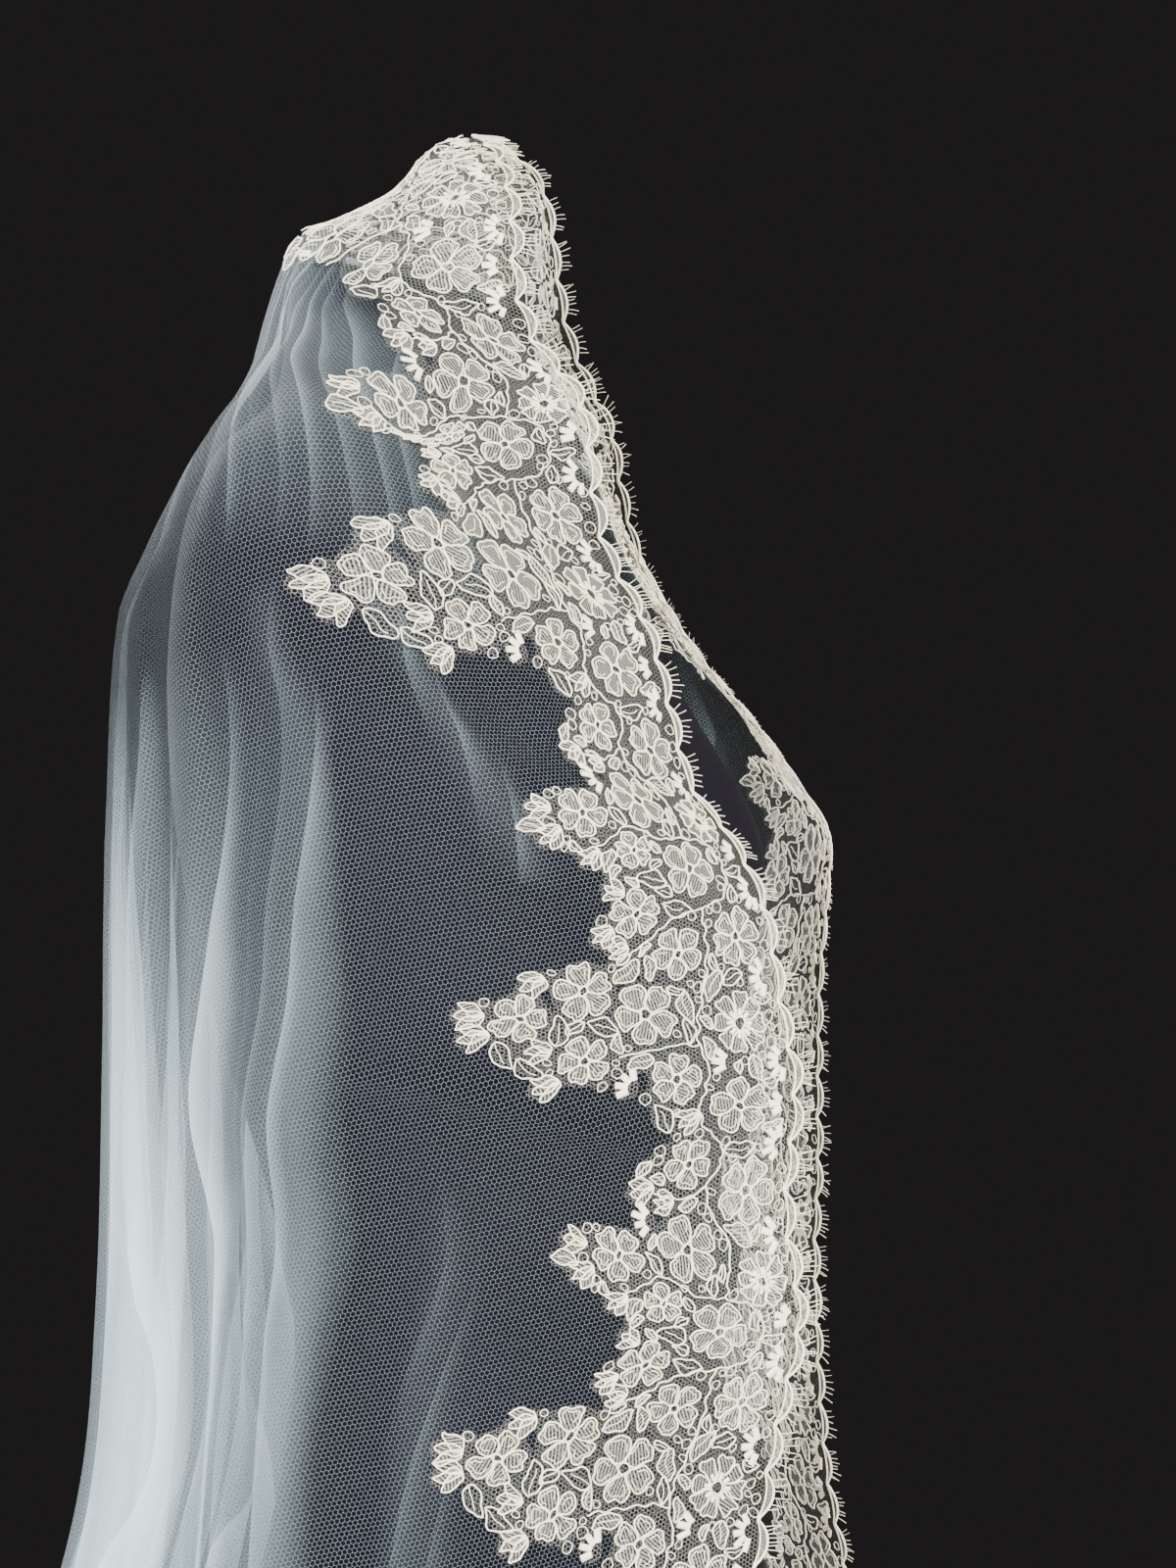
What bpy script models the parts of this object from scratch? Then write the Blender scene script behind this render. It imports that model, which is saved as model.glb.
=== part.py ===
"""A bridal veil of tulle with a wide lace edge, laid over a limbless dress form.

Metres, +Z up. The form faces -Y and its right side is -X. The origin is on the
floor, at the centre of the round base.
"""
import bisect
import math

import bmesh
import bpy
import numpy as np
from mathutils import Vector

NAME = "bridal_veil"

# Cloth, in metres
EDGE_LENGTH = 0.80  # crown to the lower end of either front edge
BACK_LENGTH = 1.00  # crown to the hem at the centre back
FREE_LENGTH = 0.45  # crown to where the cloth hangs free of the shoulders
INSET = 0.010  # the tulle ends this far inside the outermost scallop line
LIP = 0.012  # the surface goes on this far outside that line, for the lashes
SMOOTH_ZONE = 0.20  # cloth beside each front edge that hangs without folds
WALL = 0.001
GAP = 0.0003
LACE_LIFT = 0.0024  # middle of the lace's wall over the middle of the tulle's
FIRST_ROW = 0.02  # the tulle starts this far from the crown, under the lace

# Lace, in metres
SCALLOP = 0.017
SCALLOP_DEPTH = 0.005
SCALLOPS = 46  # along each front edge
REPEAT = 10 * SCALLOP
FIRST_BRANCH = 0.045  # crown to the first long branch
CROWN_REACH = 0.098
STEEPEST = 2  # most that the lace's reach changes for each step away from the crown
LASH = 0.0065
LASH_WIDTH = 0.0012
LASH_PLACES = (-0.38, 0.38)  # in each scallop, from -1 at its start to 1 at its end
CORD = 0.0013
STRIP_GAP = 0.0010  # between the lace and the cord that its lashes grow from

# Dress form, in metres
POLE_RADIUS = 0.0125
BASE_RADIUS = 0.20
BASE_HEIGHT = 0.022
CAP_RADIUS = 0.0485
CAP_THICK = 0.0065
CAP_TILT = 15  # degrees, down to the front
CAP_Y = 0.0455
BUST_SPREAD = 0.072  # each side of the middle
BUST_Z = 1.235
BUST_RISE = 0.013

# The lines that the cloth hangs from, crown first
RIGHT_EDGE = (
    # out, y, z
    (0.000, 0.0145, 1.519),
    (0.018, 0.0000, 1.507),
    (0.032, -0.0110, 1.490),
    (0.042, -0.0170, 1.470),
    (0.048, -0.0200, 1.450),
    (0.053, -0.0290, 1.427),
    (0.056, -0.0430, 1.411),
    (0.058, -0.0510, 1.396),
    (0.060, -0.0540, 1.370),
    (0.063, -0.0600, 1.345),
    (0.066, -0.0760, 1.316),
    (0.068, -0.0850, 1.284),
    (0.069, -0.0920, 1.259),
    (0.071, -0.1090, 1.238),
    (0.076, -0.1220, 1.215),
    (0.080, -0.1300, 1.180),
    (0.082, -0.1360, 1.151),
    (0.083, -0.1330, 1.109),
    (0.084, -0.1380, 1.070),
    (0.085, -0.1300, 1.031),
    (0.086, -0.1230, 0.981),
    (0.090, -0.1220, 0.880),
    (0.094, -0.1250, 0.680),
)
LEFT_EDGE = (
    # out, y, z
    (0.000, 0.0145, 1.519),
    (0.010, -0.0025, 1.506),
    (0.016, -0.0080, 1.491),
    (0.020, -0.0100, 1.470),
    (0.024, -0.0140, 1.443),
    (0.028, -0.0220, 1.421),
    (0.031, -0.0300, 1.403),
    (0.034, -0.0330, 1.380),
    (0.038, -0.0390, 1.352),
    (0.042, -0.0500, 1.330),
    (0.047, -0.0640, 1.308),
    (0.053, -0.0780, 1.290),
    (0.060, -0.0890, 1.274),
    (0.068, -0.0980, 1.258),
    (0.076, -0.1070, 1.240),
    (0.080, -0.1060, 1.216),
    (0.082, -0.1030, 1.180),
    (0.082, -0.1030, 1.139),
    (0.082, -0.1030, 1.098),
    (0.082, -0.1020, 1.060),
    (0.084, -0.1060, 0.980),
    (0.090, -0.1200, 0.880),
    (0.094, -0.1240, 0.680),
)
SIDE_LINE = (
    # out, y, z
    (0.000, 0.0145, 1.519),
    (0.030, 0.012, 1.502),
    (0.053, 0.028, 1.479),
    (0.066, 0.040, 1.453),
    (0.092, 0.038, 1.435),
    (0.130, 0.037, 1.413),
    (0.157, 0.035, 1.397),
    (0.170, 0.034, 1.375),
    (0.174, 0.033, 1.345),
    (0.175, 0.032, 1.250),
    (0.176, 0.030, 1.100),
    (0.184, 0.030, 0.950),
    (0.194, 0.030, 0.800),
    (0.210, 0.030, 0.500),
)
BACK_LINE = (
    # out, y, z
    (0.0, 0.0145, 1.519),
    (0.0, 0.029, 1.5175),
    (0.0, 0.0395, 1.5105),
    (0.0, 0.045, 1.501),
    (0.0, 0.0555, 1.490),
    (0.0, 0.074, 1.4845),
    (0.0, 0.0885, 1.483),
    (0.0, 0.0960, 1.474),
    (0.0, 0.104, 1.449),
    (0.0, 0.115, 1.404),
    (0.0, 0.127, 1.368),
    (0.0, 0.139, 1.335),
    (0.0, 0.148, 1.300),
    (0.0, 0.148, 1.200),
    (0.0, 0.145, 1.100),
    (0.0, 0.147, 1.000),
    (0.0, 0.166, 0.930),
    (0.0, 0.195, 0.850),
    (0.0, 0.230, 0.700),
    (0.0, 0.265, 0.450),
)
# Where the cloth heads as it leaves the front edge: 0 straight out, 90 straight back
HEADING = (
    # distance from the crown, degrees
    (0.00, 60),
    (0.10, 62),
    (0.16, 50),
    (0.22, 38),
    (0.28, 25),
    (0.32, 15),
    (0.36, 28),
    (0.42, 45),
    (0.60, 50),
    (1.10, 50),
)
EDGE_PULL = 0.35  # how long the cloth keeps that heading, as a share of the way
FRONT_ROUNDNESS = 0.5
# How round the cloth goes from the shoulder to the centre back, 0.55 for an ellipse
BACK_ROUNDNESS = (
    # distance from the crown, roundness
    (0.00, 0.50),
    (0.09, 0.52),
    (0.15, 0.34),
    (0.21, 0.36),
    (0.27, 0.52),
    (0.36, 0.56),
)

# How much wider the cloth is than the line it hangs on
FULLNESS = (
    # distance from the crown, times the width
    (0.22, 1.00),
    (0.28, 1.03),
    (0.34, 1.12),
    (0.45, 1.35),
    (0.60, 1.60),
    (1.00, 1.80),
)
# Folds across the back, from the right side to the left
FOLDS = (
    # share of the width, share of the cloth
    (1.00, 0.90),
    (1.20, 1.25),
    (0.80, 0.85),
    (1.10, 1.20),
    (0.90, 0.80),
    (1.15, 1.15),
    (0.95, 1.00),
    (1.05, 1.05),
    (0.90, 0.85),
    (1.20, 1.20),
    (0.85, 0.90),
    (1.10, 1.15),
    (0.80, 0.75),
    (1.05, 0.95),
)
FACES_PER_FOLD = 6
SMOOTH_SHARES = (0.13, 0.28, 0.45, 0.63, 0.82, 1.0)  # columns between the inset and the folds
TOP_ROWS = (0.0, FIRST_ROW, 0.042, 0.064, 0.084, 0.102, 0.120, 0.138, 0.156, 0.175, 0.200)
LOWER_ROWS = (0.225, 0.253, 0.285, 0.320, 0.360, 0.410, 0.485, 0.600, 0.750, BACK_LENGTH)
TOP_STEP = 2  # above the shoulders one face stands for this many folded ones

# How far the lace reaches in from its outer edge, from one long branch to the next
LACE_REACH = (
    # share of the repeat, reach
    (0.00, 0.128),
    (0.05, 0.120),
    (0.09, 0.088),
    (0.14, 0.086),
    (0.19, 0.100),
    (0.24, 0.084),
    (0.30, 0.060),
    (0.42, 0.052),
    (0.50, 0.060),
    (0.57, 0.078),
    (0.63, 0.088),
    (0.68, 0.082),
    (0.73, 0.062),
    (0.79, 0.060),
    (0.84, 0.070),
    (0.88, 0.074),
    (0.93, 0.106),
    (1.00, 0.128),
)

# The form's rings, bottom to top
RINGS = (
    # z, half width, front y, back y, slope down to the front in degrees
    (0.720, 0.150, -0.098, 0.118, 0),
    (0.770, 0.160, -0.108, 0.124, 0),
    (0.840, 0.163, -0.110, 0.122, 0),
    (0.910, 0.150, -0.102, 0.108, 0),
    (0.980, 0.127, -0.086, 0.090, 0),
    (1.050, 0.113, -0.075, 0.083, 0),
    (1.110, 0.119, -0.078, 0.096, 0),
    (1.170, 0.132, -0.084, 0.115, 0),
    (1.233, 0.143, -0.082, 0.128, 0),
    (1.290, 0.147, -0.058, 0.130, 0),
    (1.330, 0.154, -0.036, 0.122, 0),
    (1.355, 0.161, -0.020, 0.110, 0),
    (1.370, 0.162, -0.013, 0.100, 0),
    (1.381, 0.152, -0.008, 0.096, 0),
    (1.391, 0.130, -0.005, 0.095, 0),
    (1.403, 0.098, -0.003, 0.095, 0),
    (1.416, 0.070, -0.003, 0.096, 0),
    (1.432, 0.055, -0.004, 0.096, 5),
    (1.446, 0.050, -0.003, 0.095, 11),
    (1.458, 0.048, -0.0025, 0.0935, 15),
)
RING_POINTS = 28


def spline(table, steps=24):
    """Points along a smooth curve through a table's rows."""
    rows = np.array(table, float)
    ends = np.vstack([2 * rows[0] - rows[1], rows, 2 * rows[-1] - rows[-2]])
    t = (np.arange(steps) / steps)[:, None]
    out = []
    for a, b, c, d in zip(ends, ends[1:], ends[2:], ends[3:]):
        bend = (2 * a - 5 * b + 4 * c - d) * t**2
        turn = (3 * b - a - 3 * c + d) * t**3
        out.append(0.5 * (2 * b + (c - a) * t + bend + turn))
    out.append(rows[-1:])
    return np.vstack(out)


def along(points):
    """Distance along a row of points, from its start."""
    return np.concatenate([[0.0], np.cumsum(np.linalg.norm(np.diff(points, axis=0), axis=1))])


def at(distance, points, measured):
    """Points at distances along a measured row of points, straight on past its ends."""
    distance = np.atleast_1d(distance)
    inside = np.clip(distance, measured[0], measured[-1])
    found = np.stack([np.interp(inside, measured, points[:, k]) for k in range(3)], -1)
    start = (points[1] - points[0]) / (measured[1] - measured[0])
    end = (points[-1] - points[-2]) / (measured[-1] - measured[-2])
    found += np.minimum(distance - measured[0], 0)[:, None] * start
    found += np.maximum(distance - measured[-1], 0)[:, None] * end
    return found


TABLES = {"right": RIGHT_EDGE, "left": LEFT_EDGE, "side": SIDE_LINE, "back": BACK_LINE}
LINES = {name: spline(table) for name, table in TABLES.items()}
MEASURED = {name: along(points) for name, points in LINES.items()}


def on_line(name, distance):
    return at(distance, LINES[name], MEASURED[name])[0]


def flat_place(s, q):
    """Distance from the crown, and round from the front edge, of the flat cloth's
    point at s along that edge and q in from it."""
    radius = math.hypot(s, q)
    return radius, radius * math.atan2(q, s)


def smooth_width(radius):
    """How much cloth beside the front edge hangs without folds."""
    return SMOOTH_ZONE * math.tanh(0.9 * radius / SMOOTH_ZONE)


def bezier(a, b, c, d, steps=40):
    t = (np.arange(steps) / steps)[:, None]
    return (1 - t) ** 3 * a + 3 * (1 - t) ** 2 * t * b + 3 * (1 - t) * t**2 * c + t**3 * d


def half_line(radius, side):
    """Half of the line that the cloth takes this far from the crown, without folds,
    from the front edge to the centre back."""
    edge = on_line(side, radius)
    shoulder = on_line("side", radius)
    back = on_line("back", radius)
    heading = math.radians(np.interp(radius, *np.array(HEADING).T))
    away = np.array([math.cos(heading), math.sin(heading), 0])
    pull = EDGE_PULL * np.linalg.norm(shoulder - edge)
    ahead = FRONT_ROUNDNESS * np.array([0, shoulder[1] - edge[1], 0])
    roundness = np.interp(radius, *np.array(BACK_ROUNDNESS).T)
    behind = roundness * np.array([0, back[1] - shoulder[1], 0])
    out = roundness * np.array([shoulder[0], 0, 0])
    first = bezier(edge, edge + away * pull, shoulder - ahead, shoulder)
    second = bezier(shoulder, shoulder + behind, back + out, back)
    points = np.vstack([first, second, back])
    if side == "right":
        points[:, 0] *= -1
    return points


def fold_columns():
    """For each column across the folds: its place in the folds' width, its fold's
    share of the width and of the cloth, and its phase."""
    shares = np.array(FOLDS)
    shares /= shares.sum(axis=0)
    starts = np.concatenate([[0], np.cumsum(shares[:, 0])])
    rows = []
    for start, (width, cloth) in zip(starts, shares):
        for k in range(FACES_PER_FOLD):
            rows.append((start, width, cloth, k / FACES_PER_FOLD))
    return np.array(rows[1:])


def edge_columns(radius):
    """Distances from the front edge of the columns in the smooth zone."""
    width = smooth_width(radius)
    small = min(1.0, radius / FIRST_ROW)
    inset = INSET * small
    fixed = [-LIP * small, 0.0, inset]
    return np.array(fixed + [inset + share * (width - inset) for share in SMOOTH_SHARES])


def cloth_row(radius):
    """Points of the cloth's middle this far from the crown, and the way out from it."""
    right = half_line(radius, "right")
    left = half_line(radius, "left")
    line = np.vstack([right, left[::-1][1:]])
    measured = along(line)
    near = edge_columns(radius)
    width = measured[-1] - 2 * near[-1]
    full = np.interp(radius, *np.array(FULLNESS).T)
    start, share, cloth, phase = fold_columns().T
    squeeze = np.clip(full - 1, 0, 0.8) * np.sin(4 * np.pi * phase) / (4 * np.pi)
    place = near[-1] + width * (start + share * (phase - squeeze))
    taken = np.maximum(full * cloth / share, 1.0)
    depth = width * share / 4 * np.sqrt(np.maximum(taken**2 - 1, 0)) * min(1, full - 1 + 0.5)
    lift = depth * np.sin(2 * np.pi * phase) * (full > 1)
    places = np.concatenate([near, place, measured[-1] - near[::-1]])
    lifts = np.concatenate([0 * near, lift, 0 * near])
    middle = at(places, line, measured)
    run = at(places + 0.002, line, measured) - at(places - 0.002, line, measured)
    return middle, run, lifts


def unit(vectors):
    return vectors / np.maximum(np.linalg.norm(vectors, axis=-1, keepdims=True), 1e-12)


def column_lengths(count):
    """How far each column reaches from the crown to the hem."""
    centre = np.abs(np.linspace(-1, 1, count))
    rise = 0.5 + 0.5 * np.cos(np.pi * centre)
    return EDGE_LENGTH + (BACK_LENGTH - EDGE_LENGTH) * rise


def row_radii(lengths):
    """Distance from the crown of every row, in every column."""
    rows = np.array(TOP_ROWS + LOWER_ROWS)[:, None]
    free = np.clip((rows - FREE_LENGTH) / (BACK_LENGTH - FREE_LENGTH), 0, 1)
    return np.where(rows < FREE_LENGTH, rows, FREE_LENGTH + free * (lengths[None] - FREE_LENGTH))


def cloth_grid():
    """The cloth's middle and the way out from it, rows from the crown down."""
    steps = np.arange(0.0, BACK_LENGTH + 0.011, 0.01)
    steps[0] = 0.0005
    rows = [cloth_row(step) for step in steps]
    middle = np.array([row[0] for row in rows])
    run = np.array([row[1] for row in rows])
    lifts = np.array([row[2] for row in rows])
    fall = np.gradient(middle, axis=0)
    out = unit(np.cross(run, fall))
    middle = middle + out * lifts[..., None]
    radii = row_radii(column_lengths(middle.shape[1]))
    picked = np.empty(radii.shape + (3,))
    for column in range(radii.shape[1]):
        for k in range(3):
            picked[:, column, k] = np.interp(radii[:, column], steps, middle[:, column, k])
    picked[0] = LINES["back"][0]
    return picked, radii


def kept_columns(count):
    """The columns that the tulle keeps above the shoulders."""
    middle = (count - 1) // 2
    near = range(EDGE_COUNT)
    step = [j for j in range(EDGE_COUNT, count - EDGE_COUNT) if (j - middle) % TOP_STEP == 0]
    return sorted(set(near) | set(step) | {count - 1 - j for j in near})


def plain_top(grid):
    """Above the shoulders, lays the spare columns straight between the kept ones."""
    kept = kept_columns(grid.shape[1])
    for row in grid[: len(TOP_ROWS)]:
        for k in range(3):
            row[:, k] = np.interp(np.arange(grid.shape[1]), kept, row[kept, k])
    return grid


def ways_out(grid):
    """The way out of the cloth at each of a grid's points, from its own neighbours."""
    out = unit(np.cross(np.gradient(grid, axis=1), np.gradient(grid, axis=0)))
    out[0] = out[1].mean(axis=0)
    return unit(out)


EDGE_COUNT = 3 + len(SMOOTH_SHARES)
GRID, RADII = cloth_grid()
GRID = plain_top(GRID)
KEPT = kept_columns(GRID.shape[1])
AXIS = Vector((0, 0.03, 1.0))  # a point inside the form, which the cloth faces away from
OUT = ways_out(GRID)
COLUMNS = GRID.shape[1]


def grid_place(radius, distance, side):
    """Row and column of the grid, with fractions, of a point of the flat cloth."""
    near = edge_columns(max(radius, 1e-6))
    column = np.interp(distance, near, np.arange(EDGE_COUNT))
    if distance > near[-1]:
        width = max(radius * math.pi / 2 - near[-1], 1e-6)
        column = EDGE_COUNT - 1 + (distance - near[-1]) / width * (COLUMNS / 2 - EDGE_COUNT)
    column = min(column, (COLUMNS - 1) / 2)
    low = int(column)
    share = column - low
    rows = RADII[:, low] * (1 - share) + RADII[:, min(low + 1, COLUMNS - 1)] * share
    row = np.interp(radius, rows, np.arange(len(rows)))
    return row, column if side == "right" else COLUMNS - 1 - column


def cell_columns(row, column):
    """The two columns that close in a place of the grid."""
    if row > len(TOP_ROWS) - 1:
        low = min(int(column), COLUMNS - 2)
        return low, low + 1
    place = min(bisect.bisect_right(KEPT, column), len(KEPT) - 1)
    return KEPT[place - 1], KEPT[place]


def fold_line(i, low, high):
    """The two corners of a cell that its fold line joins: the pair that lies further in,
    so that what is laid over the cell bridges it."""
    pairs = ((i, low), (i + 1, high)), ((i, high), (i + 1, low))
    out = sum(OUT[corner] for pair in pairs for corner in pair)
    return min(pairs, key=lambda pair: (GRID[pair[0]] + GRID[pair[1]]) @ out)


def on_cloth(row, column, lift):
    """The point at a place of the grid, on the flat triangle there, lifted off it."""
    i = min(int(row), GRID.shape[0] - 2)
    low, high = cell_columns(row, column)
    down, over = row - i, (column - low) / (high - low)
    first, second = low, high
    if fold_line(i, low, high)[0][1] == high:
        over = 1 - over
        first, second = high, low
    if down > over:
        blend = ((1 - down, i, first), (down - over, i + 1, first), (over, i + 1, second))
    else:
        blend = ((1 - over, i, first), (over - down, i, second), (down, i + 1, second))
    point = sum(w * GRID[m, n] for w, m, n in blend)
    out = sum(w * OUT[m, n] for w, m, n in blend)
    return point + lift * unit(out)


# Turns the flat tables into solids


def clear_scene():
    for old in list(bpy.data.objects):
        bpy.data.objects.remove(old, do_unlink=True)


def material(name, colour, roughness, metallic=0.0):
    made = bpy.data.materials.new(name)
    made.use_nodes = True
    shader = made.node_tree.nodes["Principled BSDF"]
    shader.inputs["Base Color"].default_value = (*colour, 1.0)
    shader.inputs["Roughness"].default_value = roughness
    shader.inputs["Metallic"].default_value = metallic
    return made


def add_object(name, mesh, finish, collection, smooth=True):
    mesh.materials.append(finish)
    made = bpy.data.objects.new(name, mesh)
    collection.objects.link(made)
    if smooth:
        mesh.shade_smooth()
    return made


def add_wall(made, offset):
    """Gives an open surface its thickness: offset 0 both ways, 1 outwards only."""
    wall = made.modifiers.new("wall", "SOLIDIFY")
    wall.thickness = WALL
    wall.offset = offset
    wall.use_rim = True


def add_cell(bm, points, i, low, high):
    """Two triangles that meet on the cell's fold line."""
    ends = [points[corner] for corner in fold_line(i, low, high)]
    corners = [(i, low), (i + 1, low), (i + 1, high), (i, high)]
    for corner in corners:
        if points[corner] not in ends:
            bm.faces.new([ends[0], points[corner], ends[1]])


def tulle_mesh():
    """One sheet from edge to edge, with fewer columns above the shoulders."""
    bm = bmesh.new()
    first, last = 2, COLUMNS - 3  # the outermost columns carry the lace and lashes alone
    step_row = len(TOP_ROWS) - 1
    kept = [j for j in KEPT if first <= j <= last]
    points = {}
    for i in range(1, GRID.shape[0]):
        for j in (kept if i <= step_row else range(first, last + 1)):
            points[i, j] = bm.verts.new(GRID[i, j])
    for i in range(1, step_row):
        for j, k in zip(kept, kept[1:]):
            add_cell(bm, points, i, j, k)
    for j, k in zip(kept, kept[1:]):  # the row where the columns multiply
        if k == j + 1:
            add_cell(bm, points, step_row, j, k)
        else:
            fan = [points[step_row + 1, n] for n in range(j, k + 1)]
            bm.faces.new([points[step_row, j]] + fan + [points[step_row, k]])
    for i in range(step_row + 1, GRID.shape[0] - 1):
        for j in range(first, last):
            add_cell(bm, points, i, j, j + 1)
    bmesh.ops.recalc_face_normals(bm, faces=bm.faces)
    mesh = bpy.data.meshes.new("tulle_body")
    bm.to_mesh(mesh)
    bm.free()
    return mesh


def scallop_line(s):
    """How far in the lace's scalloped edge lies at a length of edge."""
    return SCALLOP_DEPTH * abs(2 * (s / SCALLOP % 1) - 1) ** 2.2


def reach_line():
    """The lace's inner outline: distances from the crown and round from the front edge."""
    places = []
    for s in np.arange(0.0, SCALLOPS * SCALLOP + 0.02, 0.004):
        share = (s - FIRST_BRANCH) / REPEAT % 1
        q = np.interp(share, *np.array(LACE_REACH).T)
        if s < FIRST_BRANCH + 0.2 * REPEAT:
            q = min(q, CROWN_REACH)
        places.append(flat_place(s, q))
    places = np.array(places)
    radii = np.arange(places[0, 0], places[-1, 0], 0.002)
    away = np.abs(radii[:, None] - places[None, :, 0])
    return np.stack([radii, np.max(places[:, 1] - STEEPEST * away, axis=1)], -1)


def lace_mesh(side):
    """One length of lace: cells between its two outlines, on the tulle's own grid."""
    reach = reach_line()
    centre = (COLUMNS - 1) / 2
    radii = [(k + (place + 1) / 2) * SCALLOP
             for k in range(SCALLOPS) for place in (-1,) + LASH_PLACES]
    last = SCALLOPS * SCALLOP
    radii = sorted(r for r in radii[1:] + list(RADII[1:, 1]) + [last] if r <= last)
    bm = bmesh.new()
    rows, cells = [], {}
    for radius in radii:
        outer = grid_place(radius, scallop_line(radius), "right")[1]
        inner = centre if radius <= reach[0, 0] else grid_place(
            radius, np.interp(radius, *reach.T), "right")[1]
        whole = range(math.floor(outer) + 1, math.ceil(inner))
        if radius <= TOP_ROWS[-1]:
            whole = [c for c in whole if c in KEPT]
        columns = [outer] + [c for c in whole if c - outer > 0.05 and inner - c > 0.05] + [inner]
        row = []
        for column in columns:
            low = int(column)
            share = column - low
            line = RADII[:, low] * (1 - share) + RADII[:, min(low + 1, COLUMNS - 1)] * share
            level = float(np.interp(radius, line, np.arange(len(line))))
            row.append((column, bm.verts.new((level, column, 0))))
        rows.append(row)
    for above, below in zip(rows, rows[1:]):
        i = j = 0
        while i < len(above) - 1 or j < len(below) - 1:
            a = above[i + 1][0] if i < len(above) - 1 else math.inf
            b = below[j + 1][0] if j < len(below) - 1 else math.inf
            ends = i + 2 == len(above) and j + 2 == len(below)
            corners = [above[i][1], below[j][1]]
            if ends or (a == b):
                corners += [below[j + 1][1], above[i + 1][1]]
                i, j = i + 1, j + 1
            elif a < b:
                corners += [above[i + 1][1]]
                i += 1
            else:
                corners += [below[j + 1][1]]
                j += 1
            face = bm.faces.new(corners)
            spot = face.calc_center_median()
            cells.setdefault((int(spot.x), *cell_columns(spot.x, spot.y)), []).append(face)
    for faces in cells.values():
        bmesh.ops.dissolve_faces(bm, faces=faces)
    spare = [v for v in bm.verts if len(v.link_edges) == 2 and not v.is_boundary]
    bmesh.ops.dissolve_verts(bm, verts=spare)
    corners = {(round(v.co.x, 4), round(v.co.y, 4)): v for v in bm.verts}
    for cell in cells:
        ends = [corners.get(corner) for corner in fold_line(*cell)]
        shared = set(ends[0].link_faces) & set(ends[1].link_faces) if all(ends) else ()
        for face in shared:
            bmesh.utils.face_split(face, *ends)
    for vert in bm.verts:
        row, column = vert.co.x, vert.co.y
        at_seam = column > centre - 0.001
        place = column if side == "right" else COLUMNS - 1 - column
        vert.co = on_cloth(row, place, LACE_LIFT - WALL / 2)
        if at_seam:
            vert.co.x += -GAP / 2 if side == "right" else GAP / 2
    bm.normal_update()
    if sum(f.normal.dot(f.calc_center_median() - AXIS) * f.calc_area() for f in bm.faces) < 0:
        bmesh.ops.reverse_faces(bm, faces=bm.faces)
    mesh = bpy.data.meshes.new("lace_trim_" + side)
    bm.to_mesh(mesh)
    bm.free()
    return mesh


def lash_mesh(side):
    """The scallops' cord, three-sided, with its lashes grown from the outer side."""
    bm = bmesh.new()
    rings, roots = [], []
    half = LASH_WIDTH / 2
    for k in range(SCALLOPS):
        marks = [] if k == 0 else [(k * SCALLOP, False)]
        for place in LASH_PLACES:
            centre = (k + (place + 1) / 2) * SCALLOP
            marks += [(centre - half, True), (centre + half, False)]
        for s, root in marks:
            q = scallop_line(s) - STRIP_GAP
            rings.append([edge_point(s, q, LACE_LIFT, side),
                          edge_point(s, q - CORD, LACE_LIFT + WALL / 2, side),
                          edge_point(s, q - CORD, LACE_LIFT - WALL / 2, side)])
            roots.append((root, s + half, q - CORD - LASH))
    rings = [[bm.verts.new(p) for p in ring] for ring in rings]
    for ring, after, (root, s, q) in zip(rings, rings[1:], roots):
        for a, b in ((0, 1), (1, 2), (2, 0)):
            corners = [ring[a], ring[b], after[b], after[a]]
            if root and a == 1:
                tip = bm.verts.new(edge_point(s, q, LACE_LIFT, side))
                for first, second in zip(corners, corners[1:] + corners[:1]):
                    bm.faces.new([first, second, tip])
            else:
                bm.faces.new(corners)
    bm.faces.new(rings[0])
    bm.faces.new(rings[-1][::-1])
    bmesh.ops.recalc_face_normals(bm, faces=bm.faces)
    mesh = bpy.data.meshes.new("lash_edge_" + side)
    bm.to_mesh(mesh)
    bm.free()
    return mesh


def edge_point(s, q, lift, side):
    """A point at s along the lace's edge and q in from it, lifted off the tulle."""
    row, column = grid_place(s, q, side)
    return on_cloth(row, column, lift)


def ring_points(z, half_width, front, back, slope):
    """One level of the torso, with the bust's two soft rises in front."""
    points = []
    middle = (front + back) / 2
    depth = (back - front) / 2
    for k in range(RING_POINTS):
        turn = 2 * math.pi * k / RING_POINTS
        x = half_width * math.sin(turn)
        y = middle + depth * math.cos(turn)
        if math.cos(turn) < 0:
            level = math.exp(-(((z - BUST_Z) / 0.055) ** 2))
            y -= BUST_RISE * level * math.exp(-(((abs(x) - BUST_SPREAD) / 0.045) ** 2))
        points.append((x, y, z + (y - middle) * math.tan(math.radians(slope))))
    return points


def torso_mesh():
    bm = bmesh.new()
    rings = [[bm.verts.new(p) for p in ring_points(*row)] for row in RINGS]
    for low, high in zip(rings, rings[1:]):
        for k in range(RING_POINTS):
            after = (k + 1) % RING_POINTS
            bm.faces.new([low[k], low[after], high[after], high[k]])
    bm.faces.new(rings[0])
    bm.faces.new(rings[-1][::-1])
    bmesh.ops.recalc_face_normals(bm, faces=bm.faces)
    mesh = bpy.data.meshes.new("form_torso")
    bm.to_mesh(mesh)
    bm.free()
    return mesh


def round_mesh(name, radius_low, radius_high, height, segments):
    """A plain cylinder or cone standing on its own origin."""
    bm = bmesh.new()
    bmesh.ops.create_cone(bm, cap_ends=True, segments=segments, radius1=radius_low,
                          radius2=radius_high, depth=height)
    bmesh.ops.translate(bm, verts=bm.verts, vec=(0, 0, height / 2))
    mesh = bpy.data.meshes.new(name)
    bm.to_mesh(mesh)
    bm.free()
    return mesh


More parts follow.
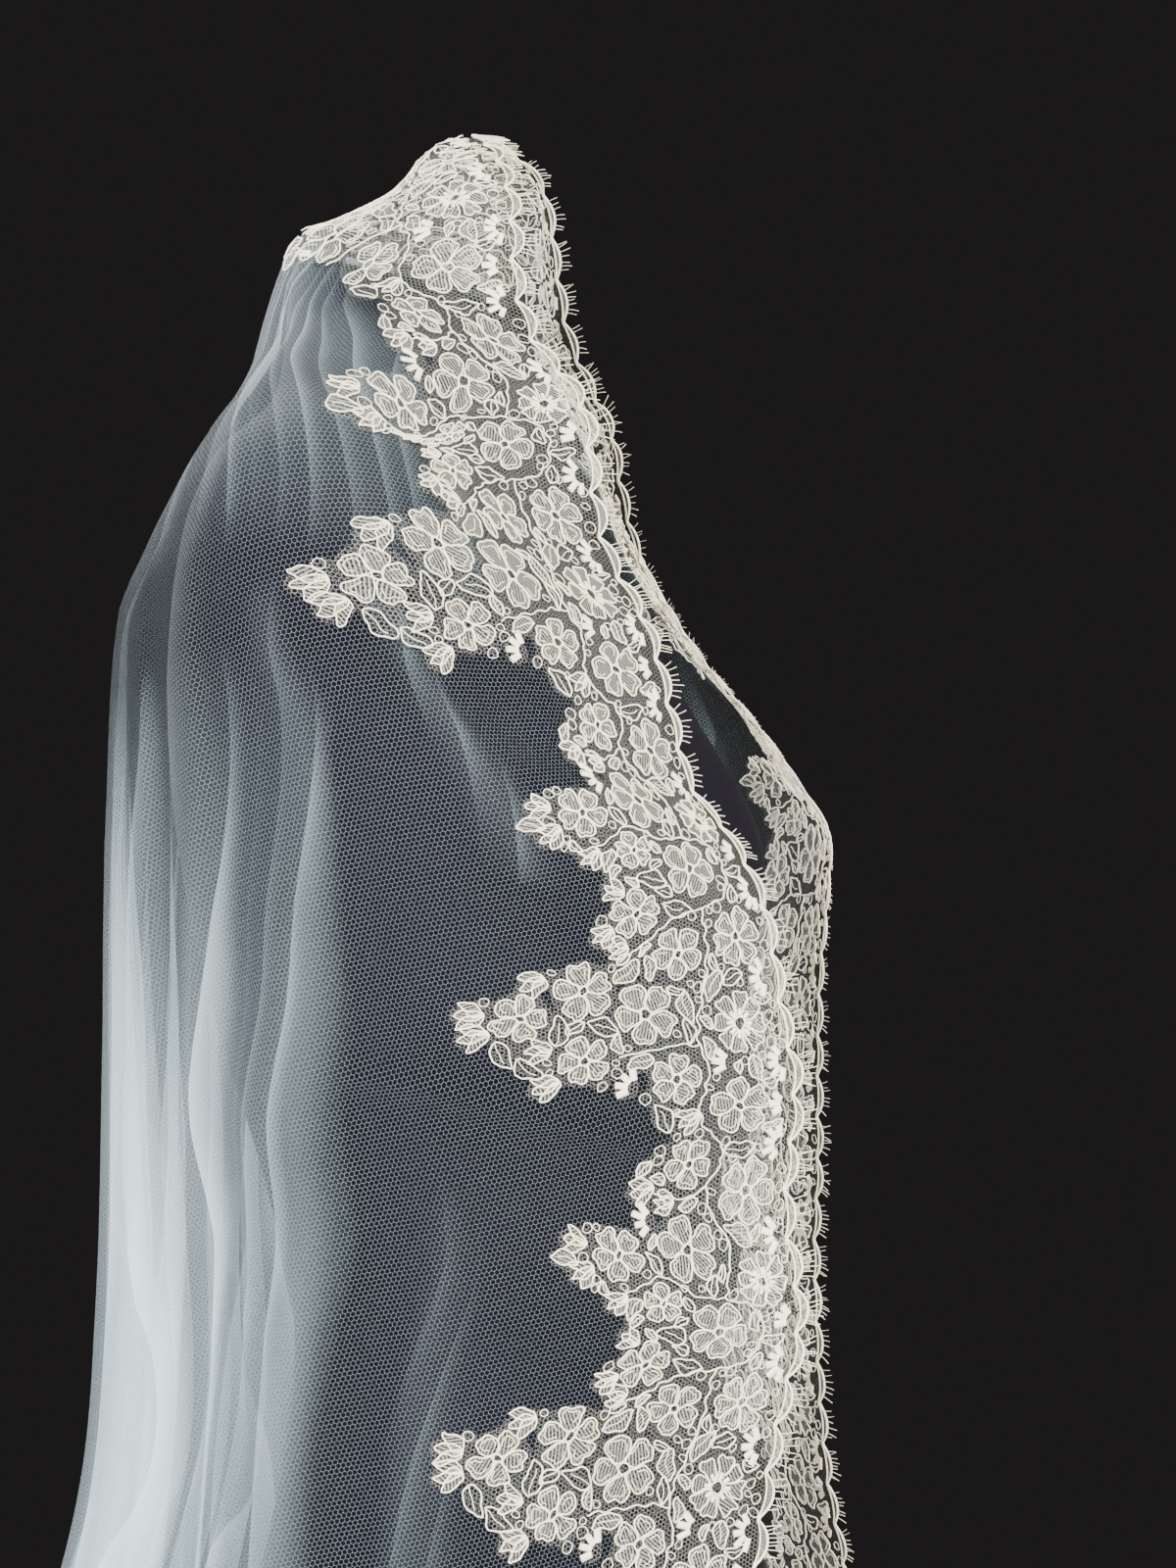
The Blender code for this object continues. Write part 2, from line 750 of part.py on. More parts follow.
def bevel(made, width, segments=2):
    edge = made.modifiers.new("edge", "BEVEL")
    edge.width = width
    edge.segments = segments
    edge.limit_method = "ANGLE"


def main():
    clear_scene()
    collection = bpy.data.collections.new(NAME)
    bpy.context.scene.collection.children.link(collection)

    tulle = material("tulle", (0.80, 0.86, 0.88), 0.6)
    lace = material("corded_lace", (0.90, 0.87, 0.80), 0.55)
    thread = material("lash_thread", (0.92, 0.90, 0.84), 0.5)
    jersey = material("black_jersey", (0.012, 0.012, 0.014), 0.85)
    lacquer = material("black_lacquer", (0.02, 0.02, 0.02), 0.35)
    steel = material("stand_steel", (0.45, 0.45, 0.46), 0.3, 1.0)

    add_wall(add_object("tulle_body", tulle_mesh(), tulle, collection), 0.0)
    for side in ("right", "left"):
        made = add_object("lace_trim_" + side, lace_mesh(side), lace, collection)
        add_wall(made, 1.0)
        add_object("lash_edge_" + side, lash_mesh(side), thread, collection, smooth=False)

    torso = add_object("form_torso", torso_mesh(), jersey, collection)
    torso.data.set_sharp_from_angle(angle=math.radians(50))

    cap = round_mesh("form_neck_cap", CAP_RADIUS, CAP_RADIUS, CAP_THICK, 28)
    cap = add_object("form_neck_cap", cap, lacquer, collection)
    cap.data.set_sharp_from_angle(angle=math.radians(40))
    cap.location = (0, CAP_Y, RINGS[-1][0] + GAP)
    cap.rotation_euler = (math.radians(CAP_TILT), 0, 0)
    bevel(cap, 0.002, 1)

    pole_top = RINGS[0][0] - GAP
    pole = round_mesh("stand_pole", POLE_RADIUS, POLE_RADIUS, pole_top - BASE_HEIGHT - GAP, 24)
    pole = add_object("stand_pole", pole, steel, collection)
    pole.data.set_sharp_from_angle(angle=math.radians(40))
    pole.location = (0, 0, BASE_HEIGHT + GAP)

    base = round_mesh("stand_base", BASE_RADIUS, BASE_RADIUS, BASE_HEIGHT, 40)
    base = add_object("stand_base", base, lacquer, collection)
    base.data.set_sharp_from_angle(angle=math.radians(40))
    bevel(base, 0.005)


main()
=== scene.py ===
"""How a bridal veil of tulle, with a wide edge of corded lace, looks on its dress form.

Metres, +Z up, in the solids' own frame. The form faces -Y and its right side is -X.
The cloth is worked out flat first: s runs along a front edge from the crown, q runs in
from that edge. Each point is then laid on the draped cloth.
"""
import math

import bpy
import numpy as np
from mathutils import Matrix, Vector


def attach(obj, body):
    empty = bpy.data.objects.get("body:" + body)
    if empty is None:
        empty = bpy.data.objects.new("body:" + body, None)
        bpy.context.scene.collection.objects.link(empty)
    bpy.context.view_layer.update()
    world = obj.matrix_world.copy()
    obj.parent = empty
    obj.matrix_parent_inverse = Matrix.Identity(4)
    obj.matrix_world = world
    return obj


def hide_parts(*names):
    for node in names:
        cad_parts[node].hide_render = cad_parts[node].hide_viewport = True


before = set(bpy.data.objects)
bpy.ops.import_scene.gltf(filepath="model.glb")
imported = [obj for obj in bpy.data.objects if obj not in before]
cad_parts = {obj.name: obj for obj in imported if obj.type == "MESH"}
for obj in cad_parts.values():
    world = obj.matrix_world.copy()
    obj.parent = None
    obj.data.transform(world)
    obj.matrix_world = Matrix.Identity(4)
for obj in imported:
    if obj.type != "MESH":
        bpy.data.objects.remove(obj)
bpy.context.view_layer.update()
MM = 0.001

# Cloth, in metres
EDGE_LENGTH = 0.80  # crown to the lower end of either front edge
BACK_LENGTH = 1.00  # crown to the hem at the centre back
FREE_LENGTH = 0.45  # crown to where the cloth hangs free of the shoulders
INSET = 0.010  # the tulle ends this far inside the outermost scallop line
SMOOTH_ZONE = 0.20  # cloth beside each front edge that hangs without folds
SMOOTH_SHARE = 0.9  # by the crown, that cloth as a share of the distance from it
FIRST_ROW = 0.02  # the tulle starts this far from the crown, under the lace

# The lines that the cloth hangs from, crown first
RIGHT_EDGE = (
    # out, y, z
    (0.000, 0.0145, 1.519),
    (0.018, 0.0000, 1.507),
    (0.032, -0.0110, 1.490),
    (0.042, -0.0170, 1.470),
    (0.048, -0.0200, 1.450),
    (0.053, -0.0290, 1.427),
    (0.056, -0.0430, 1.411),
    (0.058, -0.0510, 1.396),
    (0.060, -0.0540, 1.370),
    (0.063, -0.0600, 1.345),
    (0.066, -0.0760, 1.316),
    (0.068, -0.0850, 1.284),
    (0.069, -0.0920, 1.259),
    (0.071, -0.1090, 1.238),
    (0.076, -0.1220, 1.215),
    (0.080, -0.1300, 1.180),
    (0.082, -0.1360, 1.151),
    (0.083, -0.1330, 1.109),
    (0.084, -0.1380, 1.070),
    (0.085, -0.1300, 1.031),
    (0.086, -0.1230, 0.981),
    (0.090, -0.1220, 0.880),
    (0.094, -0.1250, 0.680),
)
LEFT_EDGE = (
    # out, y, z
    (0.000, 0.0145, 1.519),
    (0.010, -0.0025, 1.506),
    (0.016, -0.0080, 1.491),
    (0.020, -0.0100, 1.470),
    (0.024, -0.0140, 1.443),
    (0.028, -0.0220, 1.421),
    (0.031, -0.0300, 1.403),
    (0.034, -0.0330, 1.380),
    (0.038, -0.0390, 1.352),
    (0.042, -0.0500, 1.330),
    (0.047, -0.0640, 1.308),
    (0.053, -0.0780, 1.290),
    (0.060, -0.0890, 1.274),
    (0.068, -0.0980, 1.258),
    (0.076, -0.1070, 1.240),
    (0.080, -0.1060, 1.216),
    (0.082, -0.1030, 1.180),
    (0.082, -0.1030, 1.139),
    (0.082, -0.1030, 1.098),
    (0.082, -0.1020, 1.060),
    (0.084, -0.1060, 0.980),
    (0.090, -0.1200, 0.880),
    (0.094, -0.1240, 0.680),
)
SIDE_LINE = (
    # out, y, z
    (0.000, 0.0145, 1.519),
    (0.030, 0.012, 1.502),
    (0.053, 0.028, 1.479),
    (0.066, 0.040, 1.453),
    (0.092, 0.038, 1.435),
    (0.130, 0.037, 1.413),
    (0.157, 0.035, 1.397),
    (0.170, 0.034, 1.375),
    (0.174, 0.033, 1.345),
    (0.175, 0.032, 1.250),
    (0.176, 0.030, 1.100),
    (0.184, 0.030, 0.950),
    (0.194, 0.030, 0.800),
    (0.210, 0.030, 0.500),
)
BACK_LINE = (
    # out, y, z
    (0.0, 0.0145, 1.519),
    (0.0, 0.029, 1.5175),
    (0.0, 0.0395, 1.5105),
    (0.0, 0.045, 1.501),
    (0.0, 0.0555, 1.490),
    (0.0, 0.074, 1.4845),
    (0.0, 0.0885, 1.483),
    (0.0, 0.0960, 1.474),
    (0.0, 0.104, 1.449),
    (0.0, 0.115, 1.404),
    (0.0, 0.127, 1.368),
    (0.0, 0.139, 1.335),
    (0.0, 0.148, 1.300),
    (0.0, 0.148, 1.200),
    (0.0, 0.145, 1.100),
    (0.0, 0.147, 1.000),
    (0.0, 0.166, 0.930),
    (0.0, 0.195, 0.850),
    (0.0, 0.230, 0.700),
    (0.0, 0.265, 0.450),
)
# Where the cloth heads as it leaves the front edge: 0 straight out, 90 straight back
HEADING = (
    # distance from the crown, degrees
    (0.00, 60),
    (0.10, 62),
    (0.16, 50),
    (0.22, 38),
    (0.28, 25),
    (0.32, 15),
    (0.36, 28),
    (0.42, 45),
    (0.60, 50),
    (1.10, 50),
)
EDGE_PULL = 0.35  # how long the cloth keeps that heading, as a share of the way
FRONT_ROUNDNESS = 0.5
# How round the cloth goes from the shoulder to the centre back, 0.55 for an ellipse
BACK_ROUNDNESS = (
    # distance from the crown, roundness
    (0.00, 0.50),
    (0.09, 0.52),
    (0.15, 0.34),
    (0.21, 0.36),
    (0.27, 0.52),
    (0.36, 0.56),
)

# How much wider the cloth is than the line it hangs on
FULLNESS = (
    # distance from the crown, times the width
    (0.22, 1.00),
    (0.28, 1.03),
    (0.34, 1.12),
    (0.45, 1.35),
    (0.60, 1.60),
    (1.00, 1.80),
)
# Folds across the back, from the right side to the left
FOLDS = (
    # share of the width, share of the cloth, distance from the crown where it starts
    (1.00, 0.90, 0.30),
    (1.20, 1.25, 0.24),
    (0.80, 0.85, 0.33),
    (1.10, 1.20, 0.22),
    (0.90, 0.80, 0.31),
    (1.15, 1.15, 0.26),
    (0.95, 1.00, 0.35),
    (1.05, 1.05, 0.27),
    (0.90, 0.85, 0.32),
    (1.20, 1.20, 0.24),
    (0.85, 0.90, 0.34),
    (1.10, 1.15, 0.23),
    (0.80, 0.75, 0.30),
    (1.05, 0.95, 0.28),
)
FACES_PER_FOLD = 16
# Soft creases: where each starts and ends, from the crown and in from the front edge
CREASES = (
    # from crown, in, from crown, in, half width, height
    (0.075, 0.088, 0.235, 0.156, 0.006, 0.0035),
    (0.090, 0.074, 0.210, 0.128, 0.004, -0.0030),
    (0.100, 0.104, 0.260, 0.190, 0.007, 0.0030),
    (0.110, 0.118, 0.300, 0.235, 0.009, -0.0035),
    (0.255, 0.140, 0.370, 0.104, 0.007, 0.0030),
    (0.230, 0.110, 0.330, 0.085, 0.010, -0.0020),
    (0.280, 0.178, 0.480, 0.184, 0.009, 0.0040),
    (0.330, 0.166, 0.640, 0.158, 0.012, -0.0035),
    (0.400, 0.190, 0.800, 0.178, 0.010, 0.0045),
    (0.480, 0.140, 0.800, 0.136, 0.014, 0.0025),
)
CREASE_START = 0.6  # a crease's width where it starts, as a share of its half width
CREASE_GROWTH = 0.8  # what it gains by its end
CREASE_FADE = 0.6  # how bluntly it fades at both ends

STEP = 0.005  # between the rows that the cloth is worked out on
LEAST = 0.0005  # nothing is worked out nearer than this to the crown, where all rows meet
NEAR_STEP = 0.0025  # between places along a row, beside a front edge
NEAR_WIDTH = 0.200  # of the cloth there that the lace can lie on
LIP = 0.014  # the surface is known this far outside the scallops, for the lashes
PATH_STEP = 0.002  # between places on the lines that run straight in from the edge
PATH_LENGTH = 0.180
EVENING = 0.5  # how far the lay is evened along the edge, as a share of the way in
GATHERED_TO = 0.2  # from the crown to where its gathered cloth ends
STRAIGHT_FROM = 0.16  # along the edge to where the cloth beside it lies straight
BACK_SHARE = 0.996  # the lace stops this share of the way to the centre back
# On the slope of the shoulder the lace's second branch slips down and spreads
BRANCH = 0.139  # the branch's place along the edge
SLIP = 0.014
SLIP_REACH = 0.030  # along the edge, both ways
SPREAD = 0.5  # what the branch gains in width, as a share of it
SPREAD_REACH = 0.015
SLIP_STARTS = 0.045  # in from the edge
SLIP_FULL = 0.085
# The lace spreads a little wider where the cloth rounds the neck
WIDENING = (
    # along the edge, times the width
    (0.00, 1.00),
    (0.10, 1.12),
    (0.19, 1.22),
    (0.23, 1.05),
    (0.30, 1.00),
)


def spline(table, steps=24):
    """Points along a smooth curve through a table's rows."""
    rows = np.array(table, float)
    ends = np.vstack([2 * rows[0] - rows[1], rows, 2 * rows[-1] - rows[-2]])
    t = (np.arange(steps) / steps)[:, None]
    out = []
    for a, b, c, d in zip(ends, ends[1:], ends[2:], ends[3:]):
        bend = (2 * a - 5 * b + 4 * c - d) * t**2
        turn = (3 * b - a - 3 * c + d) * t**3
        out.append(0.5 * (2 * b + (c - a) * t + bend + turn))
    out.append(rows[-1:])
    return np.vstack(out)


def along(points):
    """Distance along a row of points, from its start."""
    return np.concatenate([[0.0], np.cumsum(np.linalg.norm(np.diff(points, axis=0), axis=1))])


def at(distance, points, measured):
    """Points at distances along a measured row of points, straight on past its ends."""
    distance = np.atleast_1d(distance)
    inside = np.clip(distance, measured[0], measured[-1])
    found = np.stack([np.interp(inside, measured, points[:, k]) for k in range(3)], -1)
    start = (points[1] - points[0]) / (measured[1] - measured[0])
    end = (points[-1] - points[-2]) / (measured[-1] - measured[-2])
    found += np.minimum(distance - measured[0], 0)[:, None] * start
    found += np.maximum(distance - measured[-1], 0)[:, None] * end
    return found


def unit(vectors):
    """Vectors made one long."""
    return vectors / np.maximum(np.linalg.norm(vectors, axis=-1, keepdims=True), 1e-12)


TABLES = {"right": RIGHT_EDGE, "left": LEFT_EDGE, "side": SIDE_LINE, "back": BACK_LINE}
LINES = {name: spline(table) for name, table in TABLES.items()}
MEASURED = {name: along(points) for name, points in LINES.items()}


def on_line(name, distance):
    """The place on one of the lines that the cloth hangs from."""
    return at(distance, LINES[name], MEASURED[name])[0]


def bezier(a, b, c, d, steps=40):
    """Points along a curve from a to d, headed for b as it leaves and from c at its end."""
    t = (np.arange(steps) / steps)[:, None]
    return (1 - t) ** 3 * a + 3 * (1 - t) ** 2 * t * b + 3 * (1 - t) * t**2 * c + t**3 * d


def half_line(radius, side):
    """Half of the line that the cloth takes this far from the crown, without folds,
    from the front edge to the centre back."""
    edge = on_line(side, radius)
    shoulder = on_line("side", radius)
    back = on_line("back", radius)
    heading = math.radians(np.interp(radius, *np.array(HEADING).T))
    away = np.array([math.cos(heading), math.sin(heading), 0])
    pull = EDGE_PULL * np.linalg.norm(shoulder - edge)
    ahead = FRONT_ROUNDNESS * np.array([0, shoulder[1] - edge[1], 0])
    roundness = np.interp(radius, *np.array(BACK_ROUNDNESS).T)
    behind = roundness * np.array([0, back[1] - shoulder[1], 0])
    out = roundness * np.array([shoulder[0], 0, 0])
    first = bezier(edge, edge + away * pull, shoulder - ahead, shoulder)
    second = bezier(shoulder, shoulder + behind, back + out, back)
    points = np.vstack([first, second, back])
    if side == "right":
        points[:, 0] *= -1
    return points


def smooth_width(radius):
    """How much cloth beside the front edge hangs without folds."""
    return SMOOTH_ZONE * np.tanh(SMOOTH_SHARE * radius / SMOOTH_ZONE)


def crease_height(radius, inward):
    """How far the soft creases lift the cloth at distances from the crown and inward."""
    height = np.zeros(np.broadcast(radius, inward).shape)
    for top, top_in, low, low_in, width, rise in CREASES:
        share = np.clip((radius - top) / (low - top), 0, 1)
        centre = top_in + (low_in - top_in) * share
        spread = width * (CREASE_START + CREASE_GROWTH * share)
        taper = np.sin(np.pi * share) ** CREASE_FADE
        height = height + rise * taper * np.exp(-(((inward - centre) / spread) ** 2))
    return height


RADII = np.arange(0.0, BACK_LENGTH + STEP / 2, STEP)
RADII[0] = LEAST
HALVES = {side: [half_line(r, side) for r in RADII] for side in ("right", "left")}
HALF_LENGTHS = {side: np.array([along(p)[-1] for p in HALVES[side]]) for side in HALVES}


def faces_out(run, fall, side_sign=1):
    """The way out of the cloth, from the way along a row and the way down."""
    return unit(np.cross(run, fall)) * side_sign


def near_cloth(side):
    """The cloth beside one front edge without its creases, and the way out from it."""
    inward = np.arange(-LIP, NEAR_WIDTH + NEAR_STEP / 2, NEAR_STEP)
    middle = np.array([at(inward, half, along(half)) for half in HALVES[side]])
    run, fall = np.gradient(middle, axis=1), np.gradient(middle, axis=0)
    out = faces_out(run, fall, 1 if side == "right" else -1)
    out[0] = out[1].mean(axis=0)
    return middle, unit(out)


NEAR = {side: near_cloth(side) for side in HALVES}


def between(values, row, column):
    """Values of a grid between its rows and columns."""
    i0 = np.clip(row, 0, values.shape[0] - 1.001).astype(int)
    j0 = np.clip(column, 0, values.shape[1] - 1.001).astype(int)
    a = np.clip(row - i0, 0, 1)[..., None]
    b = np.clip(column - j0, 0, 1)[..., None]
    return ((1 - a) * (1 - b) * values[i0, j0] + a * (1 - b) * values[i0 + 1, j0]
            + (1 - a) * b * values[i0, j0 + 1] + a * b * values[i0 + 1, j0 + 1])


def blend(values, radius, inward):
    """Values of the cloth's grid at distances from the crown and inward."""
    return between(values, radius / STEP, (inward + LIP) / NEAR_STEP)


def straight_paths(side):
    """Where straight lines on the draped cloth lead that leave the front edge squarely:
    distance from the crown and inward, by place along the edge and length of line."""
    middle = NEAR[side][0]
    down, across = np.gradient(middle, STEP, NEAR_STEP, axis=(0, 1))
    start = np.arange(0, EDGE_LENGTH + PATH_STEP / 2, PATH_STEP)
    outward = np.arange(0, -LIP - PATH_STEP / 2, -PATH_STEP)
    found = []
    for length in (outward, np.arange(0, PATH_LENGTH, PATH_STEP)):
        radius, inward = np.maximum(start, PATH_STEP), np.zeros_like(start)
        edge = unit(blend(down, radius, inward))
        heading = blend(across, radius, inward)
        heading = unit(heading - (heading * edge).sum(-1, keepdims=True) * edge)
        rows = []
        for step in np.diff(length, append=length[-1]):
            rows.append(np.stack([radius, inward], -1))
            a, b = blend(down, radius, inward), blend(across, radius, inward)
            aa, ab, bb = (a * a).sum(-1), (a * b).sum(-1), (b * b).sum(-1)
            ha, hb = (a * heading).sum(-1), (b * heading).sum(-1)
            scale = aa * bb - ab * ab
            up, over = (ha * bb - hb * ab) / scale, (hb * aa - ha * ab) / scale
            heading = unit(a * up[:, None] + b * over[:, None])
            radius = np.maximum(radius + up * step, LEAST)
            inward = inward + over * step
        found.append(np.array(rows))
    lip, rest = found
    return np.concatenate([lip[:0:-1], rest]).transpose(1, 0, 2)


PATHS = {side: straight_paths(side) for side in HALVES}
PATH_START = -(PATHS["right"].shape[1] - int(round(PATH_LENGTH / PATH_STEP))) * PATH_STEP


def evened(values, reach):
    """Values by place along the edge, evened out along it over each column's reach. A
    reach under half a step changes nothing."""
    out = values.copy()
    for column, spread in enumerate(reach / PATH_STEP):
        if spread > 0.5:
            count = int(3 * spread) + 1
            weights = np.exp(-0.5 * (np.arange(-count, count + 1) / spread) ** 2)
            line = values[:, column]
            before = 2 * line[0] - line[count:0:-1]
            after = 2 * line[-1] - line[-2:-count - 2:-1]
            line = np.concatenate([before, line, after])
            out[:, column] = np.convolve(line, weights / weights.sum(), "valid")
    return out


def eased(share):
    """A share of the way from 0 to 1, starting and ending gently."""
    share = np.clip(share, 0, 1)
    return share * share * (3 - 2 * share)


def branch_slip(s, q):
    """How much further from the crown the second branch lies than the cloth round it."""
    away = s - BRANCH
    slip = SLIP * np.exp(-((away / SLIP_REACH) ** 2))
    slip = slip + SPREAD * away * np.exp(-((away / SPREAD_REACH) ** 2))
    return slip * eased((q - SLIP_STARTS) / (SLIP_FULL - SLIP_STARTS))


def cloth_places(side):
    """Distance from the crown and inward of the flat cloth beside one front edge. By the
    crown the cloth is gathered in toward the centre back; further down it lies straight."""
    paths = PATHS[side]
    s = np.arange(paths.shape[0])[:, None] * PATH_STEP
    flat = PATH_START + np.arange(paths.shape[1])[None] * PATH_STEP
    q = np.where(flat > 0, flat * np.interp(s, *np.array(WIDENING).T), flat)
    radius = np.hypot(s, q)
    inward = radius * np.arctan2(q, s)
    smooth = smooth_width(radius)
    half = np.interp(radius, RADII, HALF_LENGTHS[side])
    quarter = np.maximum(radius * math.pi / 2 - smooth, 1e-6)
    drawn_back = smooth + (inward - smooth) / quarter * (half - smooth)
    inward = np.where((inward > smooth) & (radius < GATHERED_TO), drawn_back, inward)
    column = np.clip((q - PATH_START) / PATH_STEP, 0, paths.shape[1] - 1.001)
    before = column.astype(int)
    part = (column - before)[..., None]
    row = np.arange(paths.shape[0])[:, None]
    straight = (1 - part) * paths[row, before] + part * paths[row, before + 1]
    share = eased(s / STRAIGHT_FROM)
    reach = EVENING * np.maximum(flat[0], 0)
    radius = s + evened(radius + (straight[..., 0] - radius) * share - s, reach)
    inward = q + evened(inward + (straight[..., 1] - inward) * share - q, reach)
    radius = np.maximum(radius + branch_slip(s, q), LEAST)
    half = np.interp(radius, RADII, HALF_LENGTHS[side])
    return np.stack([radius, np.minimum(inward, BACK_SHARE * half)], -1)


PLACES = {side: cloth_places(side) for side in HALVES}


def lay(s, q, side, lift):
    """The draped place of flat points at s along the edge and q in from it, lifted off
    the tulle, and the way out there."""
    s, q = np.broadcast_arrays(np.asarray(s, float), np.asarray(q, float))
    place = between(PLACES[side], s / PATH_STEP, (q - PATH_START) / PATH_STEP)
    radius, inward = place[..., 0], place[..., 1]
    middle, out = NEAR[side]
    way = unit(blend(out, radius, inward))
    lift = np.asarray(lift) + crease_height(radius, inward)
    return blend(middle, radius, inward) + way * lift[..., None], way


# ---------------------------------------------------------------- meshes


def grid_mesh(name, grid, flat, keep=None):
    """A mesh of a grid of points, with the flat cloth's own measures as its UVs."""
    rows, columns = grid.shape[:2]
    index = np.arange(rows * columns).reshape(rows, columns)
    quads = np.stack([index[:-1, :-1], index[1:, :-1], index[1:, 1:], index[:-1, 1:]], -1)
    quads = quads.reshape(-1, 4)
    if keep is not None:
        quads = quads[keep.reshape(-1)[quads].any(axis=1)]
    used, quads = np.unique(quads, return_inverse=True)
    mesh = bpy.data.meshes.new(name)
    mesh.from_pydata(grid.reshape(-1, 3)[used].tolist(), [], quads.reshape(-1, 4).tolist())
    set_uvs(mesh, flat.reshape(-1, 2)[used])
    return mesh, used


def set_uvs(mesh, flat, name="flat"):
    """Gives each corner of a mesh its vertex's place on the flat cloth, in metres."""
    corners = np.empty(len(mesh.loops), int)
    mesh.loops.foreach_get("vertex_index", corners)
    layer = mesh.uv_layers.new(name=name)
    layer.data.foreach_set("uv", flat[corners].astype(np.float32).ravel())


def set_values(mesh, values, name):
    """Gives each vertex of a mesh a value that its finish reads by name."""
    layer = mesh.attributes.new(name, "FLOAT", "POINT")
    layer.data.foreach_set("value", values.astype(np.float32).ravel())


def add_object(name, data):
    """Adds an object to the scene."""
    made = bpy.data.objects.new(name, data)
    bpy.context.scene.collection.objects.link(made)
    return made


def add_piece(name, mesh, material):
    """Adds a piece that stands with the form, with its finish."""
    made = add_object(name, mesh)
    mesh.materials.append(material)
    mesh.shade_smooth()
    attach(made, "root")
    return made


# ---------------------------------------------------------------- tulle


def fold_columns():
    """For each column across the folds: its place in the folds' width, its fold's
    share of the width and of the cloth, where the fold starts, and its phase."""
    shares = np.array(FOLDS)
    width, cloth = shares[:, 0] / shares[:, 0].sum(), shares[:, 1] / shares[:, 1].sum()
    starts = np.concatenate([[0], np.cumsum(width)])
    rows = []
    for begin, wide, much, start in zip(starts, width, cloth, shares[:, 2]):
        for k in range(FACES_PER_FOLD):
            rows.append((begin, wide, much, start, k / FACES_PER_FOLD))
    return np.array(rows[1:])


def column_lengths(count):
    """How far each column reaches from the crown to the hem."""
    centre = np.abs(np.linspace(-1, 1, count))
    rise = 0.5 + 0.5 * np.cos(np.pi * centre)
    return EDGE_LENGTH + (BACK_LENGTH - EDGE_LENGTH) * rise


SMOOTH_COLUMNS = 70  # from the tulle's edge to the first fold
FOLD_RUN = 0.10  # over which a fold deepens
FOLD_START = 0.3  # a fold's depth where it starts, as a share of its full depth
FOLD_LEAN = 0.22  # how far the folds lean over, each by its own amount
SHALLOW = 0.5  # taken off the folds' depth where the fullness begins, less as it grows
MOST_BUNCHED = 0.8  # how far the cloth may bunch up along the folds' sides
HALF_STEP = 0.002  # each way from a point, for the way along its row
# Where the tulle hangs in small folds
GATHERS = (
    # how much; from the crown: begins, full, fades, ends; in from the edge: begins, full
    (0.74, 0.07, 0.10, 0.14, 0.27, 0.070, 0.105),
    (1.00, 0.30, 0.46, 2.00, 2.10, 0.170, 0.225),
)
CREASE_GATHER = 0.30  # how far the tulle doubles over along its creases
CREASE_FULL = 0.004  # a crease this high doubles it over fully
UNROLLING = 12  # passes
UNROLLED_ROWS = 4  # one row in this many is unrolled
UNROLLED_COLUMNS = 2


def tulle_row(index):
    """One row of the tulle: its middle line, the way along it, its folds' depths, and
    how far in from the nearer front edge each point lies."""
    radius = RADII[index]
    right, left = HALVES["right"][index], HALVES["left"][index]
    line = np.vstack([right, left[::-1][1:]])
    measured = along(line)
    near = INSET * min(1.0, radius / FIRST_ROW)
    near = near + (smooth_width(radius) - near) * np.linspace(0, 1, SMOOTH_COLUMNS)
    width = measured[-1] - 2 * near[-1]
    begin, share, cloth, start, phase = fold_columns().T
    full = np.interp(radius, *np.array(FULLNESS).T)
    bunched = np.clip(full - 1, 0, MOST_BUNCHED) * np.sin(4 * np.pi * phase) / (4 * np.pi)
    place = near[-1] + width * (begin + share * (phase - bunched))
    taken = np.maximum(full * cloth / share, 1.0)
    depth = width * share / 4 * np.sqrt(np.maximum(taken**2 - 1, 0))
    depth = depth * min(1, full - SHALLOW)
    depth = depth * np.clip((radius - start) / FOLD_RUN + FOLD_START, 0, 1) * (full > 1)
    wave = np.sin(2 * np.pi * phase) + FOLD_LEAN * np.sin(4 * np.pi * phase + 9 * begin)
    places = np.concatenate([near, place, measured[-1] - near[::-1]])
    middle = at(places, line, measured)
    run = at(places + HALF_STEP, line, measured) - at(places - HALF_STEP, line, measured)
    lifts = crease_height(radius, places) + crease_height(radius, measured[-1] - places)
    lifts[len(near):-len(near)] += depth * wave
    return middle, run, lifts, np.minimum(places, measured[-1] - places)


def tulle_grid():
    """The tulle's points by row and column, and how far the cloth is gathered there."""
    rows = [tulle_row(k) for k in range(len(RADII))]
    middle = np.array([row[0] for row in rows])
    run = np.array([row[1] for row in rows])
    lifts = np.array([row[2] for row in rows])
    inward = np.array([row[3] for row in rows])
    out = faces_out(run, np.gradient(middle, axis=0))
    middle = middle + out * lifts[..., None]
    lengths = column_lengths(middle.shape[1])
    steps = np.arange(FIRST_ROW, BACK_LENGTH + 1e-6, STEP)
    free = np.clip((steps - FREE_LENGTH) / (BACK_LENGTH - FREE_LENGTH), 0, 1)
    reach = FREE_LENGTH + free[:, None] * (lengths[None] - FREE_LENGTH)
    radii = np.where(steps[:, None] < FREE_LENGTH, steps[:, None], reach)
    column = np.broadcast_to(np.arange(radii.shape[1]), radii.shape)
    grid = between(middle, radii / STEP, column)
    inward = between(inward[..., None], radii / STEP, column)[..., 0]
    return grid, gathered(radii, inward)


def gathered(radius, inward):
    """How closely the tulle hangs in small folds, from 0 where it is spread over the
    form to 1 where it falls free behind the arm."""
    amount = CREASE_GATHER * np.clip(crease_height(radius, inward) / CREASE_FULL, 0, 1)
    for much, top, full, fades, low, start, inner in GATHERS:
        down = np.interp(radius, (top, full, fades, low), (0, 1, 1, 0))
        amount = amount + much * down * np.interp(inward, (start, inner), (0, 1))
    return np.clip(amount, 0, 1)


